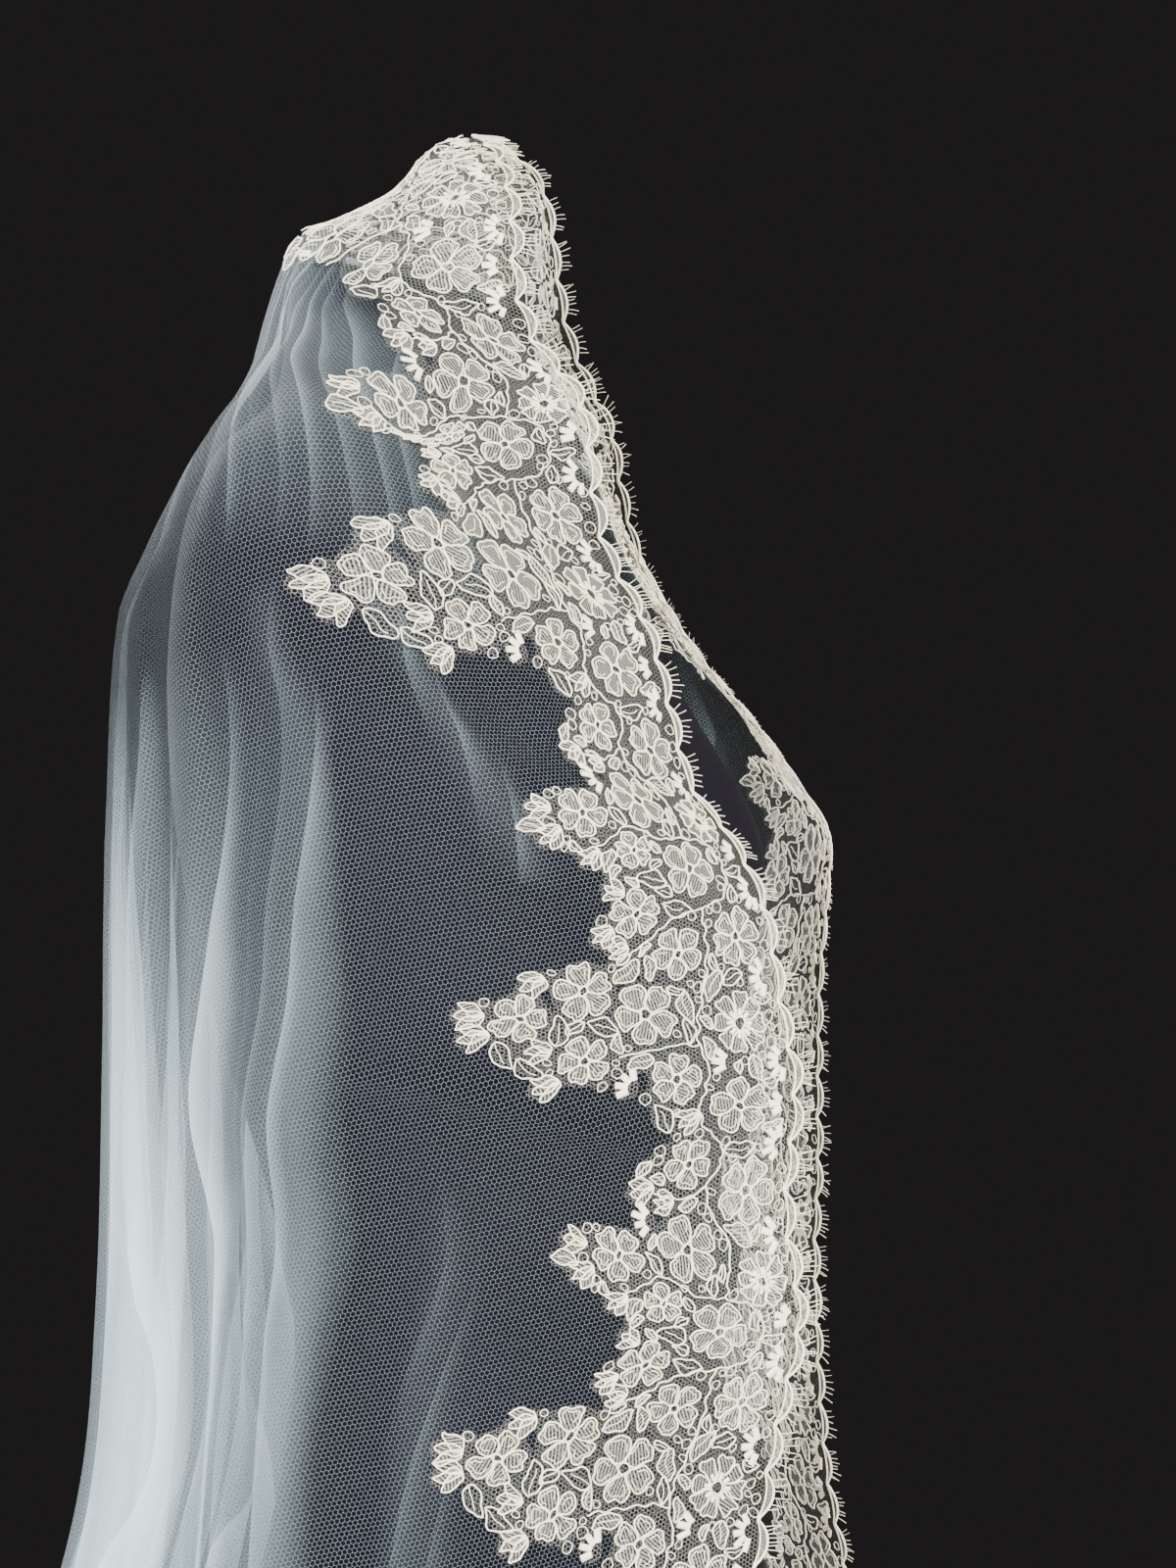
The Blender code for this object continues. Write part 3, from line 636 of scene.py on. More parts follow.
def filled_in(values, known, count):
    """Values at known rows of a grid, filled in at the rows between."""
    row = np.arange(count)
    after = np.clip(np.searchsorted(known, row, side="right"), 1, len(known) - 1)
    share = (row - known[after - 1]) / (known[after] - known[after - 1])
    share = share[:, None, None]
    return values[after - 1] * (1 - share) + values[after] * share


def unrolled(grid):
    """Where the tulle's points lie when it is flat, in metres, so that its net stays
    even all over. Every few rows and columns are unrolled, the rest filled in."""
    last_row, last_column = grid.shape[0] - 1, grid.shape[1] - 1
    rows = np.append(np.arange(0, last_row, UNROLLED_ROWS), last_row)
    columns = np.append(np.arange(0, last_column, UNROLLED_COLUMNS), last_column)
    few = grid[np.ix_(rows, columns)]
    turn = np.linspace(0, np.pi, few.shape[1])[None]
    reach = np.linspace(0.1, 1, few.shape[0])[:, None]
    fan = np.stack([reach * np.cos(turn), reach * np.sin(turn)], -1)
    mesh = grid_mesh("tulle_unrolled", few, fan)[0]
    made = add_object("tulle_unrolled", mesh)
    bpy.context.view_layer.objects.active = made
    made.select_set(True)
    bpy.ops.object.mode_set(mode="EDIT")
    bpy.ops.mesh.select_all(action="SELECT")
    bpy.ops.uv.unwrap(method="MINIMUM_STRETCH", margin=0.0, iterations=UNROLLING)
    bpy.ops.object.mode_set(mode="OBJECT")
    corners = np.empty(len(mesh.loops), int)
    mesh.loops.foreach_get("vertex_index", corners)
    places = np.empty(len(mesh.loops) * 2)
    mesh.uv_layers["flat"].data.foreach_get("uv", places)
    flat = np.empty((len(mesh.vertices), 2))
    flat[corners] = places.reshape(-1, 2)
    flat = flat.reshape(few.shape[:2] + (2,))
    bpy.data.meshes.remove(mesh)
    real = [np.linalg.norm(np.diff(few, axis=k), axis=2).ravel() for k in (0, 1)]
    drawn = [np.linalg.norm(np.diff(flat, axis=k), axis=2).ravel() for k in (0, 1)]
    flat *= np.median(np.concatenate(real) / np.maximum(np.concatenate(drawn), 1e-9))
    flat = filled_in(flat, rows, grid.shape[0]).swapaxes(0, 1)
    return filled_in(flat, columns, grid.shape[1]).swapaxes(0, 1)


def tulle_mesh():
    """The tulle's mesh, with its flat measures, its falling lines and its gathers."""
    grid, gather = tulle_grid()
    mesh = grid_mesh("tulle", grid, unrolled(grid))[0]
    fall = np.linspace(0, 1, grid.shape[0])[:, None]
    column = np.linspace(0, 1, grid.shape[1])[None]
    hang = np.stack(np.broadcast_arrays(column, fall), -1)
    set_uvs(mesh, hang.reshape(-1, 2), "hang")
    set_values(mesh, gather, "gathered")
    return mesh


# ---------------------------------------------------------------- lace

SCALLOP = 0.017
SCALLOP_DEPTH = 0.005
SCALLOP_SHARPNESS = 2.2  # of the hollows between its lobes
SCALLOPS = 46  # along each front edge
LACE_LENGTH = SCALLOPS * SCALLOP
CUT_START = 0.0003  # the lace is cut this far from the crown's seam
CUT_END = LACE_LENGTH - 0.0005
REPEAT = 10 * SCALLOP
REPEAT_MM = REPEAT / MM
FIRST_BRANCH = 0.045  # crown to the first long branch
WANDER = 0.00038  # how far the cords stray
CROWN_SPARE = 0.008  # cords run on this far past the crown's cut

# Half of each cord's width
CORD = 0.00029
FINE_CORD = 0.00019
EDGE_CORD = 0.00042
BAND_CORD = 0.00031
LASH = 0.00013
THICKENED = 1.2  # tubes of few sides are this much wider, to look as thick as round ones

# Heights over the tulle
LACE_LIFT = 0.0012
BAND_LIFT = LACE_LIFT + 0.0003
FILLING_LIFT = 0.0015
BAR_HEIGHT = 0.0004  # half of a satin bar's

# Along the scallops
EDGE_START = 0.0004  # from the crown's seam
EDGE_STEP = 0.001
EDGE_INSET = 0.0006  # the outer cord lies this far inside the scallop line
BAND_WIDTH = 0.0030  # between the two cords, in the middle of a lobe
BAND_ROUNDNESS = 0.7  # lower is fuller
LASH_SEED = 5
LASH_COUNT = (6, 10)  # on a scallop: at least, and fewer than
LASH_SPREAD = 0.62  # how far out on the lobe they stand, as a share of half of it
LASH_STRAY = 0.03  # of their places, as a share of the same
LASH_LENGTH = 0.0062
LASH_LENGTHS = (0.75, 1.15)  # times that length
LASH_ROOT = 0.0004  # they start this far inside the scallop line
LASH_LEAN = 0.0022  # outward, at the end of a lobe
LASH_LEAN_STRAY = 0.0006
LASH_CURVE = 1.3  # how late along its length a lash leans over

# The lace's ground net
NET_STEP = 0.0017  # between its points along the edge
NET_ROW = 0.0018  # and in from it
NET_DEPTH = 0.142
NET_INSET = 0.0003  # it starts this far inside the scallop line
NET_JOIN = 0.0012  # how readily the net spans the gaps between flowers
NET_REACH = 0.012  # flowers further off than this don't count
NET_MOST = 0.003  # how deep inside a flower still counts for more
NET_RIM = 0.0015  # kept past the net's own edge, for its finish to cut
BAND = 0.044  # the net's own width between the branches
BAND_WAVE = 0.002
BAND_WAVE_LENGTH = 0.06
CROWN_NET = 0.062  # all net this near to the crown
CROWN_NET_SPARE = 0.004  # and this far past the crown's cut

# How far in the lace reaches, over one repeat, in millimetres
REACH = (
    # along, reach
    (0, 134),
    (8, 128),
    (14, 106),
    (20, 114),
    (28, 106),
    (33, 76),
    (42, 57),
    (58, 58),
    (66, 66),
    (72, 69),
    (78, 63),
    (82, 76),
    (86, 94),
    (94, 101),
    (102, 94),
    (110, 80),
    (118, 72),
    (126, 69),
    (134, 74),
    (142, 80),
    (150, 75),
    (155, 98),
    (162, 126),
    (170, 134),
)
# By the crown, where it rounds the neck, the lace is cut away in a curve
CROWN_LINE = (
    # along the edge, reach, in metres
    (0.000, 0.082),
    (0.045, 0.082),
    (0.052, 0.078),
    (0.058, 0.066),
    (0.066, 0.057),
    (0.085, 0.057),
    (0.095, 0.062),
    (0.105, 0.069),
    (0.114, 0.074),
    (0.122, 0.090),
    (0.130, 0.200),
)
# One repeat of the lace's work, from one long branch to the next, in millimetres
FLOWERS = (
    # along, in, radius, turn in degrees, petals, petal width, eye
    (6, 62, 12.5, 10, 5, 0.98, 2.1),
    (164, 84, 11.5, 32, 5, 0.96, 1.8),
    (1, 108, 10.5, -8, 5, 0.96, 1.6),
    (21, 86, 10.0, 20, 5, 0.96, 1.6),
    (12, 24, 11.5, 8, 8, 0.88, 2.2),
    (31, 52, 10.5, 48, 5, 0.96, 1.7),
    (43, 27, 12.0, 30, 5, 1.00, 1.9),
    (63, 45, 9.5, 0, 5, 0.96, 1.5),
    (74, 21, 11.5, -15, 5, 1.00, 1.9),
    (92, 46, 12.5, 25, 5, 0.98, 2.0),
    (94, 74, 10.5, 5, 5, 0.96, 1.6),
    (104, 18, 10.5, 12, 8, 0.88, 2.0),
    (112, 58, 8.0, 30, 5, 0.96, 1.3),
    (124, 36, 12.5, -8, 5, 1.00, 1.9),
    (137, 62, 10.0, 40, 5, 0.96, 1.6),
    (152, 21, 11.0, 20, 6, 0.96, 1.8),
    (155, 47, 10.5, 10, 5, 0.96, 1.7),
)
BUDS = (
    # along, in, size, heading in degrees (0 down the edge, 90 inward)
    (5, 119, 10.5, 76),
    (168, 120, 10.5, 100),
    (156, 97, 10.0, 68),
    (28, 95, 10.0, 66),
    (16, 98, 9.0, 100),
    (45, 43, 9.0, 60),
    (70, 58, 9.5, 72),
    (77, 50, 8.0, 105),
    (90, 86, 9.0, 110),
    (99, 84, 9.5, 66),
    (110, 72, 8.5, 60),
    (142, 71, 8.5, 66),
    (128, 66, 8.0, 115),
    (150, 66, 8.0, 100),
)
STEMS = (
    # along, in of each point that the stem passes
    ((-2, 37), (10, 41), (19, 42), (28, 39), (36, 41), (43, 43), (51, 40), (56, 34), (63, 32),
     (72, 37), (82, 34), (90, 29), (101, 31), (110, 33), (112, 26), (117, 20), (128, 19),
     (137, 24), (140, 34), (147, 35), (157, 35), (168, 37)),
    ((19, 42), (18, 49), (19, 57), (20, 66), (21, 74)),
    ((110, 33), (109, 45), (102, 57), (106, 67), (109, 74)),
    ((140, 34), (141, 44), (144, 52), (148, 58), (152, 66)),
    ((72, 37), (75, 47), (72, 58)),
)
FANS = (
    # along, in, heading in degrees, bars: satin bars set round a point
    (27, 11, 80, 5),
    (58, 12, 100, 5),
    (89, 11, 90, 4),
    (136, 11, 75, 5),
    (120, 10, 110, 3),
    (167, 13, 85, 5),
    (43, 11, 90, 3),
    (33, 71, 120, 4),
    (82, 62, 95, 4),
    (26, 33, 100, 3),
)
SEED = 11
# Leaves and rings grown into the gaps between the flowers, in millimetres
LEAF_LENGTHS = (12.5, 11.0, 9.5, 8.0, 6.5)  # longest first
RING_RADII = (2.0, 1.5)
TRIES = 2600  # for each size
ZONE_START = 7  # in from the edge
ZONE_WIDTH = 117
ZONE_SPARE = 1  # from where the lace's reach ends
FLOWER_GAP = (0.2, 9)  # from the nearest flower: at least, at most
TIP_START = 8  # no leaf's tip comes nearer to the edge
LEAF_TURN = 150  # degrees: how far round from straight away from its flower
LEAF_WIDTH = 0.44  # as a share of its length
LEAF_PLUMPNESS = 0.12  # what the widest gains
LEAF_WIDEST = 0.85  # lower than 1 for nearer to its root
LEAF_FULLNESS = 0.8  # lower than 1 for fuller
VEIN = (0.05, 0.75)  # where it starts and ends, as shares of the leaf
OVERLAP = 0.2  # how far a leaf may reach over what is there
FLOWER_SPARE = 0.2
STEM_DISC = 0.5
# Discs that stand for a leaf or bud: place along it, radius as a share of its width
LEAF_DISCS = ((0.18, 0.30), (0.42, 0.46), (0.66, 0.42), (0.86, 0.26))
BEND = 0.10  # a leaf's rise in the middle, as a share of its length

# The hand's unevenness, and the sewing, in millimetres and degrees
PETAL_SIZES = (0.93, 1.04)
PETAL_WIDTHS = (0.94, 1.02)
PETAL_SKEW = 4
PETAL_RIPPLE = 0.035  # as a share of its size
PETAL_NOTCH = 0.09  # how deep its end dips, as a share of the flower's radius
NOTCH_WIDTH = 0.30  # in radians of its outline
PETAL_HALF = 0.52  # half of its width where nothing hems it in, as a share of its length
INNER_LINE = 1.5  # from a petal's cord in to its fine line
EYE_BAR = (0.6, 3.0)  # out from the eye: a bar's start and end
EYE_BAR_HALF = 0.6
PETAL_STITCHES = (60, 12)  # the first petal's heading, and each next one's turn
LEAF_STITCHES = 55
BUD_LEAVES = (-32, 32, 0)
BUD_LEAF_WIDTH = 0.42
BUD_WIDTH = 0.8
STEM_WAVER = 0.45
FAN_BAR = (2.8, 6.4, 1.6)  # start, shortest end, what the longest gains
FAN_TURN = 34  # between bars
FAN_ROOT = 3.0  # the bars start from this far nearer to the edge
FAN_BAR_HALVES = (0.95, 1.25)
FAN_DISC = 4.5


def scallop_line(s):
    """How far in the lace's scalloped edge lies at lengths of edge."""
    return SCALLOP_DEPTH * np.abs(2 * (s / SCALLOP % 1) - 1) ** SCALLOP_SHARPNESS


def turned(points, degrees, centre):
    """Local points turned and moved: x runs down the edge, y inward."""
    a = math.radians(degrees)
    turn = np.array([[math.cos(a), math.sin(a)], [-math.sin(a), math.cos(a)]])
    return np.asarray(points) @ turn + np.asarray(centre)


def petal(radius, eye, width, wave, steps=26):
    """A petal's closed outline, growing along x from the flower's eye: round at its end,
    a little wavy, and kept to its own part of the flower by its greatest half width."""
    t = np.arange(steps + 1) / steps * 2 * np.pi
    swell = (1 - np.cos(t)) / 2
    ripple = 1 + PETAL_RIPPLE * np.sin(3 * t + wave) * swell
    out = eye + (radius - eye) * swell * ripple
    out -= PETAL_NOTCH * radius * np.exp(-(((t - np.pi) / NOTCH_WIDTH) ** 2))
    round_side = PETAL_HALF * (radius - eye) * np.sin(t) * ripple + 1e-6
    limit = width / radius * out
    side = np.sign(round_side) * (np.abs(round_side) ** -4 + limit ** -4.0) ** -0.25
    return np.stack([out, side], -1)


def leaf(length, width, bend=BEND, steps=14):
    """A pointed leaf's closed outline, growing along x."""
    t = np.concatenate([np.linspace(0, 1, steps), np.linspace(1, 0, steps)[1:]])
    side = np.concatenate([np.ones(steps), -np.ones(steps - 1)])
    rise = bend * length * np.sin(np.pi * t)
    half = width / 2 * np.sin(np.pi * t**LEAF_WIDEST) ** LEAF_FULLNESS
    return np.stack([length * t, side * half + rise], -1)


def vein(length):
    """The fine line in the middle of a leaf."""
    t = np.linspace(*VEIN, 6)
    return np.stack([length * t, BEND * length * np.sin(np.pi * t)], -1)


def drawn_in(outline, gap):
    """An outline drawn in by a gap all round, but to no less than a fifth of its size."""
    middle = outline[:-1].mean(axis=0)
    away = outline - middle
    size = np.linalg.norm(away, axis=1, keepdims=True)
    return middle + away * np.maximum(1 - gap / size, 0.2)


def circle(radius, steps=13):
    """A ring's closed outline."""
    turn = np.linspace(0, 2 * np.pi, steps)
    return radius * np.stack([np.cos(turn), np.sin(turn)], -1)


def discs_along(length, width, heading, place):
    """The discs that a leaf or bud takes up: along, in, radius."""
    shares, radii = np.array(LEAF_DISCS).T
    places = turned([(length * t, 0) for t in shares], heading, place)
    return np.column_stack([places, radii * width])


def clear_of(discs, taken):
    """Whether discs keep clear of those taken, also of the next repeats'."""
    half = REPEAT_MM / 2
    away = (taken[None, :, 0] - discs[:, None, 0] + half) % REPEAT_MM - half
    apart = np.hypot(away, taken[None, :, 1] - discs[:, None, 1])
    return (apart > taken[None, :, 2] + discs[:, None, 2] - OVERLAP).all()


def stem_line(points):
    """A stem's wavering line through its points."""
    line = spline([(x, y, 0) for x, y in points], 8)[:, :2]
    line[:, 1] += STEM_WAVER * np.sin(np.arange(len(line)) * 1.1)
    return line


def taken_places():
    """Discs over one repeat's flowers, buds, stems and satin bars."""
    discs = [[(s, q, radius + FLOWER_SPARE)] for s, q, radius, *_ in FLOWERS]
    for s, q, size, heading in BUDS:
        discs.append(discs_along(size, size * BUD_WIDTH, heading, (s, q)))
    discs += [[(x, y, STEM_DISC) for x, y in stem_line(points)[::2]] for points in STEMS]
    discs += [[(s, q, FAN_DISC)] for s, q, *_ in FANS]
    return np.vstack([np.array(group, float) for group in discs])


def grown_leaves(taken):
    """Leaves, then small rings, grown into the gaps between the flowers."""
    rng = np.random.default_rng(SEED)
    flowers = np.array([row[:3] for row in FLOWERS])
    reach = np.array(REACH).T
    leaves, rings = [], []
    for size in LEAF_LENGTHS + RING_RADII:
        ring = size in RING_RADII
        for s, q, turn, plump, bare in rng.uniform(0, 1, (TRIES, 5)):
            s, q = s * REPEAT_MM, ZONE_START + q * ZONE_WIDTH
            away = (s - flowers[:, 0] + REPEAT_MM / 2) % REPEAT_MM - REPEAT_MM / 2
            gaps = np.hypot(away, q - flowers[:, 1]) - flowers[:, 2]
            if q > np.interp(s, *reach) - ZONE_SPARE:
                continue
            if not FLOWER_GAP[0] < gaps.min() < FLOWER_GAP[1]:
                continue
            if ring:
                discs = np.array([(s, q, size)])
            else:
                near = np.argmin(gaps)
                grows = math.degrees(math.atan2(q - flowers[near, 1], away[near]))
                heading = grows + LEAF_TURN * (turn - 0.5)
                width = size * (LEAF_WIDTH + LEAF_PLUMPNESS * plump)
                discs = discs_along(size, width, heading, (s, q))
                tip = turned([(size, 0)], heading, (s, q))[0]
                if not TIP_START < tip[1] < np.interp(tip[0] % REPEAT_MM, *reach):
                    continue
            if not clear_of(discs, taken):
                continue
            taken = np.vstack([taken, discs])
            if ring:
                rings.append((s, q, size))
            else:
                leaves.append((s, q, size, width, heading, bare > 0.5))
    return leaves, rings, taken


def repeat_work():
    """One repeat: outlines with the heading of their filling or none, fine lines, bars
    with their half width, and the discs that the net keeps to, all in millimetres."""
    rng = np.random.default_rng(SEED)
    thick, fine, bars = [], [], []
    leaves, rings, discs = grown_leaves(taken_places())
    first_stitch, stitch_turn = PETAL_STITCHES
    for s, q, radius, turn, petals, wide, eye in FLOWERS:
        for k in range(petals):
            size = radius * rng.uniform(*PETAL_SIZES)
            skew = rng.uniform(-PETAL_SKEW, PETAL_SKEW)
            width = radius * math.tan(math.pi / petals) * wide * rng.uniform(*PETAL_WIDTHS)
            heading = turn + skew + 360 * k / petals
            shape = turned(petal(size, eye, width, rng.uniform(0, 6)), heading, (s, q))
            thick.append((shape, turn + first_stitch + stitch_turn * k))
            if petals < 8:
                fine.append(drawn_in(shape, INNER_LINE)[4:-4])
            else:
                ends = turned([(eye + out, 0) for out in EYE_BAR], heading, (s, q))
                bars.append((ends, EYE_BAR_HALF))
        thick.append((turned(circle(eye), 0, (s, q)), None))
    for s, q, length, width, heading, filled in leaves:
        shape = turned(leaf(length, width), heading, (s, q))
        thick.append((shape, heading + LEAF_STITCHES if filled else None))
        fine.append(turned(vein(length), heading, (s, q)))
    for s, q, size, heading in BUDS:
        for turn in BUD_LEAVES:
            shape = turned(leaf(size, size * BUD_LEAF_WIDTH, 0.0), heading + turn, (s, q))
            thick.append((shape, heading + turn + LEAF_STITCHES))
    for s, q, size in rings:
        fine.append(turned(circle(size, 11), 0, (s, q)))
    for points in STEMS:
        thick.append((stem_line(points), None))
    start, shortest, gain = FAN_BAR
    for s, q, heading, count in FANS:
        for k in range(count):
            turn = heading + FAN_TURN * (k - (count - 1) / 2)
            ends = [(start, 0), (shortest + gain * rng.random(), 0)]
            ends = turned(ends, turn, (s, q - FAN_ROOT))
            bars.append((ends, rng.uniform(*FAN_BAR_HALVES)))
    return thick, fine, bars, discs


def runs_on_lace(points):
    """The stretches of a line that lie on one side's lace."""
    kept = (points[:, 0] > CUT_START) & (points[:, 0] < CUT_END)
    kept &= points[:, 1] < crown_line(points[:, 0]) + CROWN_SPARE
    if kept.all():
        return [points] if on_lace(points) else []
    cuts = np.flatnonzero(np.diff(kept.astype(int))) + 1
    return [part for part in np.split(points, cuts) if len(part) > 2 and on_lace(part)]


def uneven(points):
    """Flat points moved a little, as hand-guided cords wander from their drawing."""
    s, q = points[:, 0] / MM, points[:, 1] / MM
    down = np.sin(0.83 * q + 0.41 * s) + 0.6 * np.sin(1.9 * s - 1.1 * q)
    over = np.sin(0.77 * s - 0.35 * q + 2) + 0.6 * np.sin(1.7 * q + 1.2 * s)
    return points + WANDER * np.stack([down, over], -1)


def crown_line(s):
    """How far in the lace reaches by the crown, at lengths of edge."""
    return np.interp(s, *np.array(CROWN_LINE).T)


def on_lace(points):
    """Whether the middle of a shape lies on the lace."""
    s, q = (points.min(axis=0) + points.max(axis=0)) / 2
    return CUT_START < s < CUT_END and q < crown_line(s)


def flat_lace():
    """One side's work on the flat cloth, in metres: cords, fine cords, bars and the
    scallops' threads as (points, half width), filled shapes, and the discs that the net
    keeps to."""
    work = {"cords": [], "fine": [], "bars": [], "fills": [], "discs": []}
    work["scallops"] = edge_cords() + lashes()
    thick, fine, bars, discs = repeat_work()
    for k in range(-1, int(LACE_LENGTH / REPEAT) + 1):
        shift = np.array([FIRST_BRANCH + k * REPEAT, 0])
        for shape, heading in thick:
            shape = uneven(shape * MM + shift)
            work["cords"] += [(part, CORD) for part in runs_on_lace(shape)]
            if heading is not None and on_lace(shape):
                shape[:, 0] = np.clip(shape[:, 0], CUT_START, LACE_LENGTH)
                work["fills"].append((shape, heading))
        for shape in fine:
            shape = uneven(shape * MM + shift)
            work["fine"] += [(part, FINE_CORD) for part in runs_on_lace(shape)]
        for ends, half in bars:
            if on_lace(ends * MM + shift):
                work["bars"].append((ends * MM + shift, half * MM))
        work["discs"].append(discs * MM + np.append(shift, 0))
    work["discs"] = np.vstack(work["discs"])
    return work


def edge_cords():
    """The scallops' two cords, which meet at each hollow between the lobes."""
    s = np.arange(EDGE_START, LACE_LENGTH, EDGE_STEP)
    outer = scallop_line(s) + EDGE_INSET
    inner = outer + BAND_WIDTH * np.sin(np.pi * (s / SCALLOP % 1)) ** BAND_ROUNDNESS
    return [(np.stack([s, outer], -1), EDGE_CORD), (np.stack([s, inner], -1), BAND_CORD)]


def scallop_bands(name, side):
    """The close net between the two cords of each scallop."""
    outer, inner = (cord[0] for cord in edge_cords())
    across = np.array([[0, 0.5, 1]])
    s = np.repeat(outer[:, :1], across.size, axis=1)
    q = outer[:, 1:] + (inner - outer)[:, 1:] * across
    return grid_mesh(name, lay(s, q, side, BAND_LIFT)[0], np.stack([s, q], -1))[0]


def lashes():
    """Fine threads that stand out from each lobe, as rows of points."""
    rng = np.random.default_rng(LASH_SEED)
    t = np.linspace(0, 1, 5)
    rows = []
    for k in range(SCALLOPS):
        count = rng.integers(*LASH_COUNT)
        places = np.linspace(-LASH_SPREAD, LASH_SPREAD, count)
        for place in places + rng.normal(0, LASH_STRAY, count):
            s = (k + (place + 1) / 2) * SCALLOP
            length = LASH_LENGTH * rng.uniform(*LASH_LENGTHS)
            lean = place * LASH_LEAN + rng.normal(0, LASH_LEAN_STRAY)
            q = scallop_line(s) + LASH_ROOT - length * t
            rows.append(np.stack([s + lean * t**LASH_CURVE, q], -1))
    return [(row, LASH) for row in rows if row[:, 0].min() > MM]


def tube_mesh(name, cords, side, lift, sides, step, height):
    """Lays flat cords on the draped cloth as thin tubes, or as bars of their own height."""
    lines, widths = [], []
    for points, half in cords:
        length = along(points)
        count = max(3, int(math.ceil(length[-1] / step)) + 1)
        places = np.linspace(0, length[-1], count)
        lines.append(np.stack([np.interp(places, length, points[:, k]) for k in (0, 1)], -1))
        widths.append(np.full(count, half))
    flat, wide = np.vstack(lines), np.concatenate(widths)
    high = wide if height is None else np.full(len(wide), height)
    middle, out = lay(flat[:, 0], flat[:, 1], side, lift + high)
    first = np.cumsum([0] + [len(line) for line in lines])
    tangent = np.empty_like(middle)
    for a, b in zip(first, first[1:]):
        tangent[a:b] = np.gradient(middle[a:b], axis=0)
    across = unit(np.cross(out, unit(tangent)))
    ring = []
    for k in range(sides):
        turn = 2 * math.pi * (k + 0.5) / sides
        ring.append(middle + across * (wide * THICKENED * math.cos(turn))[:, None]
                    + out * (high * THICKENED * math.sin(turn))[:, None])
    points = np.stack(ring, 1).reshape(-1, 3)
    starts = np.concatenate([np.arange(a, b - 1) for a, b in zip(first, first[1:])]) * sides
    faces = []
    for k in range(sides):
        n = (k + 1) % sides
        corners = [starts + k, starts + n, starts + sides + n, starts + sides + k]
        faces.append(np.stack(corners, -1))
    mesh = bpy.data.meshes.new(name)
    mesh.from_pydata(points.tolist(), [], np.vstack(faces).tolist())
    return mesh


def fill_mesh(name, fills, side):
    """Lays filled petals and leaves on the net, each with its stitches' own heading."""
    points, flat, faces, count = [], [], [], 0
    for shape, heading in fills:
        outline = shape[:-1]
        middle = outline.mean(axis=0)
        ring = middle + (outline - middle) * 0.5
        rows = np.vstack([outline, ring, middle])
        n = len(outline)
        points.append(rows)
        flat.append(turned(rows, heading, (0, 0)))
        for k in range(n):
            m = (k + 1) % n
            faces.append((count + k, count + m, count + n + m, count + n + k))
            faces.append((count + n + k, count + n + m, count + 2 * n))
        count += len(rows)
    points, flat = np.vstack(points), np.vstack(flat)
    laid = lay(points[:, 0], points[:, 1], side, FILLING_LIFT)[0]
    mesh = bpy.data.meshes.new(name)
    mesh.from_pydata(laid.tolist(), [], faces)
    set_uvs(mesh, flat)
    return mesh


def lace_net(name, discs, side):
    """The lace's net, cut to the scallops outside and to its flowers inside."""
    s = np.arange(0.0, LACE_LENGTH + 0.0005, NET_STEP)
    depth = np.arange(0.0, NET_DEPTH, NET_ROW)
    q = scallop_line(s)[:, None] + NET_INSET + depth[None]
    s = np.repeat(s[:, None], len(depth), axis=1)
    soft = np.zeros_like(s)
    for x, y, radius in discs:
        near = np.abs(s[:, 0] - x) < radius + NET_REACH
        away = radius - np.hypot(s[near] - x, q[near] - y)
        soft[near] += np.exp(np.minimum(away, NET_MOST) / NET_JOIN)
    cover = NET_JOIN * np.log(soft + 1e-9)
    wave = BAND_WAVE * np.sin(s * 2 * np.pi / BAND_WAVE_LENGTH)
    cover = np.maximum(cover, BAND + wave - q)
    cover = np.maximum(cover, CROWN_NET - np.hypot(s, q))
    cover = np.minimum(cover, crown_line(s) + CROWN_NET_SPARE - q)
    grid = lay(s, q, side, LACE_LIFT)[0]
    mesh, used = grid_mesh(name, grid, np.stack([s, q], -1), cover > -NET_RIM)
    set_values(mesh, cover.reshape(-1)[used], "cover")
    return mesh


# ---------------------------------------------------------------- dress form

BUST_SPREAD = 0.072  # each side of the middle
BUST_Z = 1.235
BUST_RISE = 0.013
BUST_HEIGHT = 0.055  # how soon it fades, up and down
BUST_WIDTH = 0.045  # and sideways
RING_POINTS = 120
RINGS_BETWEEN = 8  # rings for each row of the table
RINGS = (
    # z, half width, front y, back y, slope down to the front in degrees
    (0.720, 0.150, -0.098, 0.118, 0),
    (0.770, 0.160, -0.108, 0.124, 0),
    (0.840, 0.163, -0.110, 0.122, 0),
    (0.910, 0.150, -0.102, 0.108, 0),
    (0.980, 0.127, -0.086, 0.090, 0),
    (1.050, 0.113, -0.075, 0.083, 0),
    (1.110, 0.119, -0.078, 0.096, 0),
    (1.170, 0.132, -0.084, 0.115, 0),
    (1.233, 0.143, -0.082, 0.128, 0),
    (1.290, 0.147, -0.058, 0.130, 0),
    (1.330, 0.154, -0.036, 0.122, 0),
    (1.355, 0.161, -0.020, 0.110, 0),
    (1.370, 0.162, -0.013, 0.100, 0),
    (1.381, 0.152, -0.008, 0.096, 0),
    (1.391, 0.130, -0.005, 0.095, 0),
    (1.403, 0.098, -0.003, 0.095, 0),
    (1.416, 0.070, -0.003, 0.096, 0),
    (1.432, 0.055, -0.004, 0.096, 5),
    (1.446, 0.050, -0.003, 0.095, 11),
    (1.458, 0.048, -0.0025, 0.0935, 15),
)


